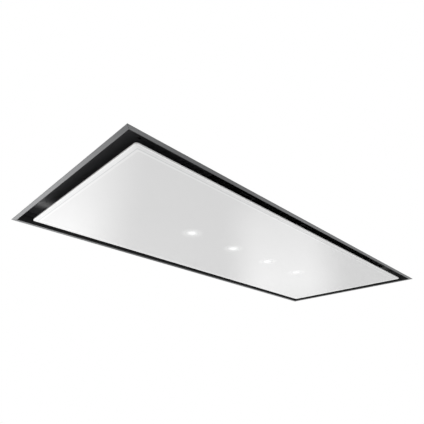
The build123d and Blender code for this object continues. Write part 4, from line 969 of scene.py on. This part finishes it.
# ==== Lamp wiring ====
# A round black cable runs over the housing to the hinge line, where it twists as the panel turns,
# and on into the carrier, with a lead to the plug of each lamp. Stick-on saddles hold it.
CABLE_RADIUS = 0.002
LEAD_RADIUS = 0.0012
HINGE_Y = 0.208
HINGE_Z = 0.015
TOP_Z = 0.123
SOCKET_Z = 0.0082
BESIDE_LAMP = 0.034
PLUG_FACE = 0.023
HARNESS_X = -0.385
DROP_X = -0.420
LAMP_X = [(i - 1.5) * LAMP_PITCH for i in range(4)]
PLUG_BLOCKS = (
    (0.0048, (-0.0010, 0.0055), (-0.0030, 0.0030)),
    (0.0032, (0.0055, 0.0075), (-0.0022, 0.0022)),
    (0.0014, (-0.0010, 0.0045), (0.0030, 0.0042)))
PLUG_ROUND = 0.0004
SADDLE_FIT = 0.0001
SADDLE_WALL = 0.0012
SADDLE_WIDTH = 0.008
SADDLE_PAD = 0.0075
SADDLE_PAD_SHEET = 0.0012
ARCH_STEPS = 10
CARRIER_SHEET = 0.001


def cable_sheath():
    """PVC cable sheath: black, smooth and slightly soft."""
    made, tree, place = new_material("pvc_sheath")
    cloud = add(tree, "ShaderNodeTexNoise", {"Vector": place, "Scale": mm(6), "Detail": 2.0})
    tone = add(tree, "ShaderNodeMix", {
        "Factor": cloud.outputs["Fac"], 6: colour("19191A"), 7: colour("1F1F20")}, data_type="RGBA")
    matt = add(tree, "ShaderNodeMapRange", {"Value": cloud.outputs["Fac"], "To Min": 0.40, "To Max": 0.52})
    skin = add(tree, "ShaderNodeBsdfPrincipled", {
        "Base Color": tone.outputs[2], "Roughness": matt.outputs[0], "IOR": 1.53})
    add(tree, "ShaderNodeOutputMaterial", {"Surface": skin.outputs[0]})
    return made


sheath = cable_sheath()


def wire(name, route, radius, body, node):
    """A round cable along a smooth curve that follows a route of points."""
    data = bpy.data.curves.new(name, "CURVE")
    data.dimensions = "3D"
    data.bevel_depth = radius
    data.bevel_resolution = 4
    data.resolution_u = 12
    data.use_fill_caps = True
    spline = data.splines.new("NURBS")
    spline.points.add(len(route) - 1)
    for point, place in zip(spline.points, route):
        point.co = (*place, 1.0)
    spline.order_u = 3
    spline.use_endpoint_u = True
    made = bpy.data.objects.new(name, data)
    made.data.materials.append(sheath)
    bpy.context.scene.collection.objects.link(made)
    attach(made, body)
    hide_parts(node)


wire("cable_over_housing", (
    (-0.4001, HINGE_Y, HINGE_Z), (-0.412, HINGE_Y, HINGE_Z), (DROP_X, HINGE_Y, HINGE_Z),
    (DROP_X, HINGE_Y, 0.023), (DROP_X, HINGE_Y, 0.122), (DROP_X, HINGE_Y, 0.132),
    (-0.410, HINGE_Y, 0.132), (-0.385, HINGE_Y, 0.132), (-0.355, HINGE_Y, TOP_Z),
    (-0.330, HINGE_Y, TOP_Z), (0.275, HINGE_Y, TOP_Z), (0.300, HINGE_Y, TOP_Z),
    (0.300, 0.183, TOP_Z), (0.300, 0.092, TOP_Z)), CABLE_RADIUS, "housing", "lamp_cable")
wire("cable_in_panel", (
    (-0.3999, HINGE_Y, HINGE_Z), (-0.392, HINGE_Y, HINGE_Z), (HARNESS_X, HINGE_Y, HINGE_Z),
    (HARNESS_X, 0.201, HINGE_Z), (HARNESS_X, 0.172, HINGE_Z), (HARNESS_X, 0.148, SOCKET_Z),
    (HARNESS_X, 0.124, SOCKET_Z), (HARNESS_X, 0.054, SOCKET_Z), (HARNESS_X, BESIDE_LAMP, SOCKET_Z),
    (-0.365, BESIDE_LAMP, SOCKET_Z), (0.229, BESIDE_LAMP, SOCKET_Z), (LAMP_X[3], BESIDE_LAMP, SOCKET_Z),
    (LAMP_X[3], PLUG_FACE, SOCKET_Z)), CABLE_RADIUS, "panel", "panel_harness")
for number, x in enumerate(LAMP_X[:3], 1):
    wire(f"lamp_lead_{number}", (
        (x - 0.016, BESIDE_LAMP, SOCKET_Z), (x - 0.006, BESIDE_LAMP - 0.001, SOCKET_Z),
        (x, BESIDE_LAMP - 0.001, SOCKET_Z), (x, PLUG_FACE, SOCKET_Z)),
        LEAD_RADIUS, "panel", "panel_harness")


def lamp_plugs():
    """A two-pole plug at each lamp: a housing, a collar behind it and a latch on top."""
    shape = bmesh.new()
    for x in LAMP_X:
        for half_width, (front, back), (low, high) in PLUG_BLOCKS:
            slab(shape, (x - half_width, PLUG_FACE + front, SOCKET_Z + low),
                 (x + half_width, PLUG_FACE + back, SOCKET_Z + high))
    return shape


plugs = mesh_piece("lamp_plugs", lamp_plugs(), nylon)
edge_round = plugs.modifiers.new("edge_round", "BEVEL")
edge_round.width = PLUG_ROUND
edge_round.segments = 2
edge_round.limit_method = "ANGLE"
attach(plugs, "panel")


def cable_saddles(name, places, foot_z, cable_z, body):
    """Nylon saddles, each an arch over the cable on a stick-on pad. Each place is X, Y and whether
    the cable runs along X."""
    inner = CABLE_RADIUS + SADDLE_FIT
    outer = inner + SADDLE_WALL
    angles = [math.pi * i / ARCH_STEPS for i in range(ARCH_STEPS + 1)]
    arch = [(outer, foot_z - cable_z)]
    arch += [(outer * math.cos(a), outer * math.sin(a)) for a in angles]
    arch += [(-outer, foot_z - cable_z), (-inner, foot_z - cable_z)]
    arch += [(inner * math.cos(a), inner * math.sin(a)) for a in reversed(angles)]
    arch += [(inner, foot_z - cable_z)]
    shape = bmesh.new()
    for x, y, along_x in places:
        ends = []
        for end in (-SADDLE_WIDTH / 2, SADDLE_WIDTH / 2):
            ring = []
            for across, up in arch:
                spot = (x + end, y + across) if along_x else (x + across, y + end)
                ring.append(shape.verts.new((*spot, cable_z + up)))
            ends.append(ring)
        count = len(arch)
        for i in range(count):
            j = (i + 1) % count
            shape.faces.new((ends[0][i], ends[0][j], ends[1][j], ends[1][i]))
        half = len(arch) // 2
        for ring in ends:
            for i in range(half - 1):
                shape.faces.new((ring[i], ring[i + 1], ring[count - 2 - i], ring[count - 1 - i]))
        for side in (-1, 1):
            near, far = sorted((side * inner, side * SADDLE_PAD))
            low = (x - SADDLE_WIDTH / 2, y + near) if along_x else (x + near, y - SADDLE_WIDTH / 2)
            high = (x + SADDLE_WIDTH / 2, y + far) if along_x else (x + far, y + SADDLE_WIDTH / 2)
            slab(shape, (*low, foot_z), (*high, foot_z + SADDLE_PAD_SHEET))
    bmesh.ops.recalc_face_normals(shape, faces=shape.faces)
    made = mesh_piece(name, shape, nylon)
    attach(made, body)


over_housing = [(x, HINGE_Y, True) for x in (-0.28, -0.10, 0.08, 0.25)] + [(0.300, 0.14, False)]
cable_saddles("saddles_on_housing", over_housing, housing_high.z, TOP_Z, "housing")
in_panel = [(HARNESS_X, y, False) for y in (0.115, 0.065)]
in_panel += [(x, BESIDE_LAMP, True) for x in (-0.32, -0.16, 0.0, 0.16)]
cable_saddles("saddles_in_panel", in_panel, carrier_low.z + CARRIER_SHEET, SOCKET_Z, "panel")
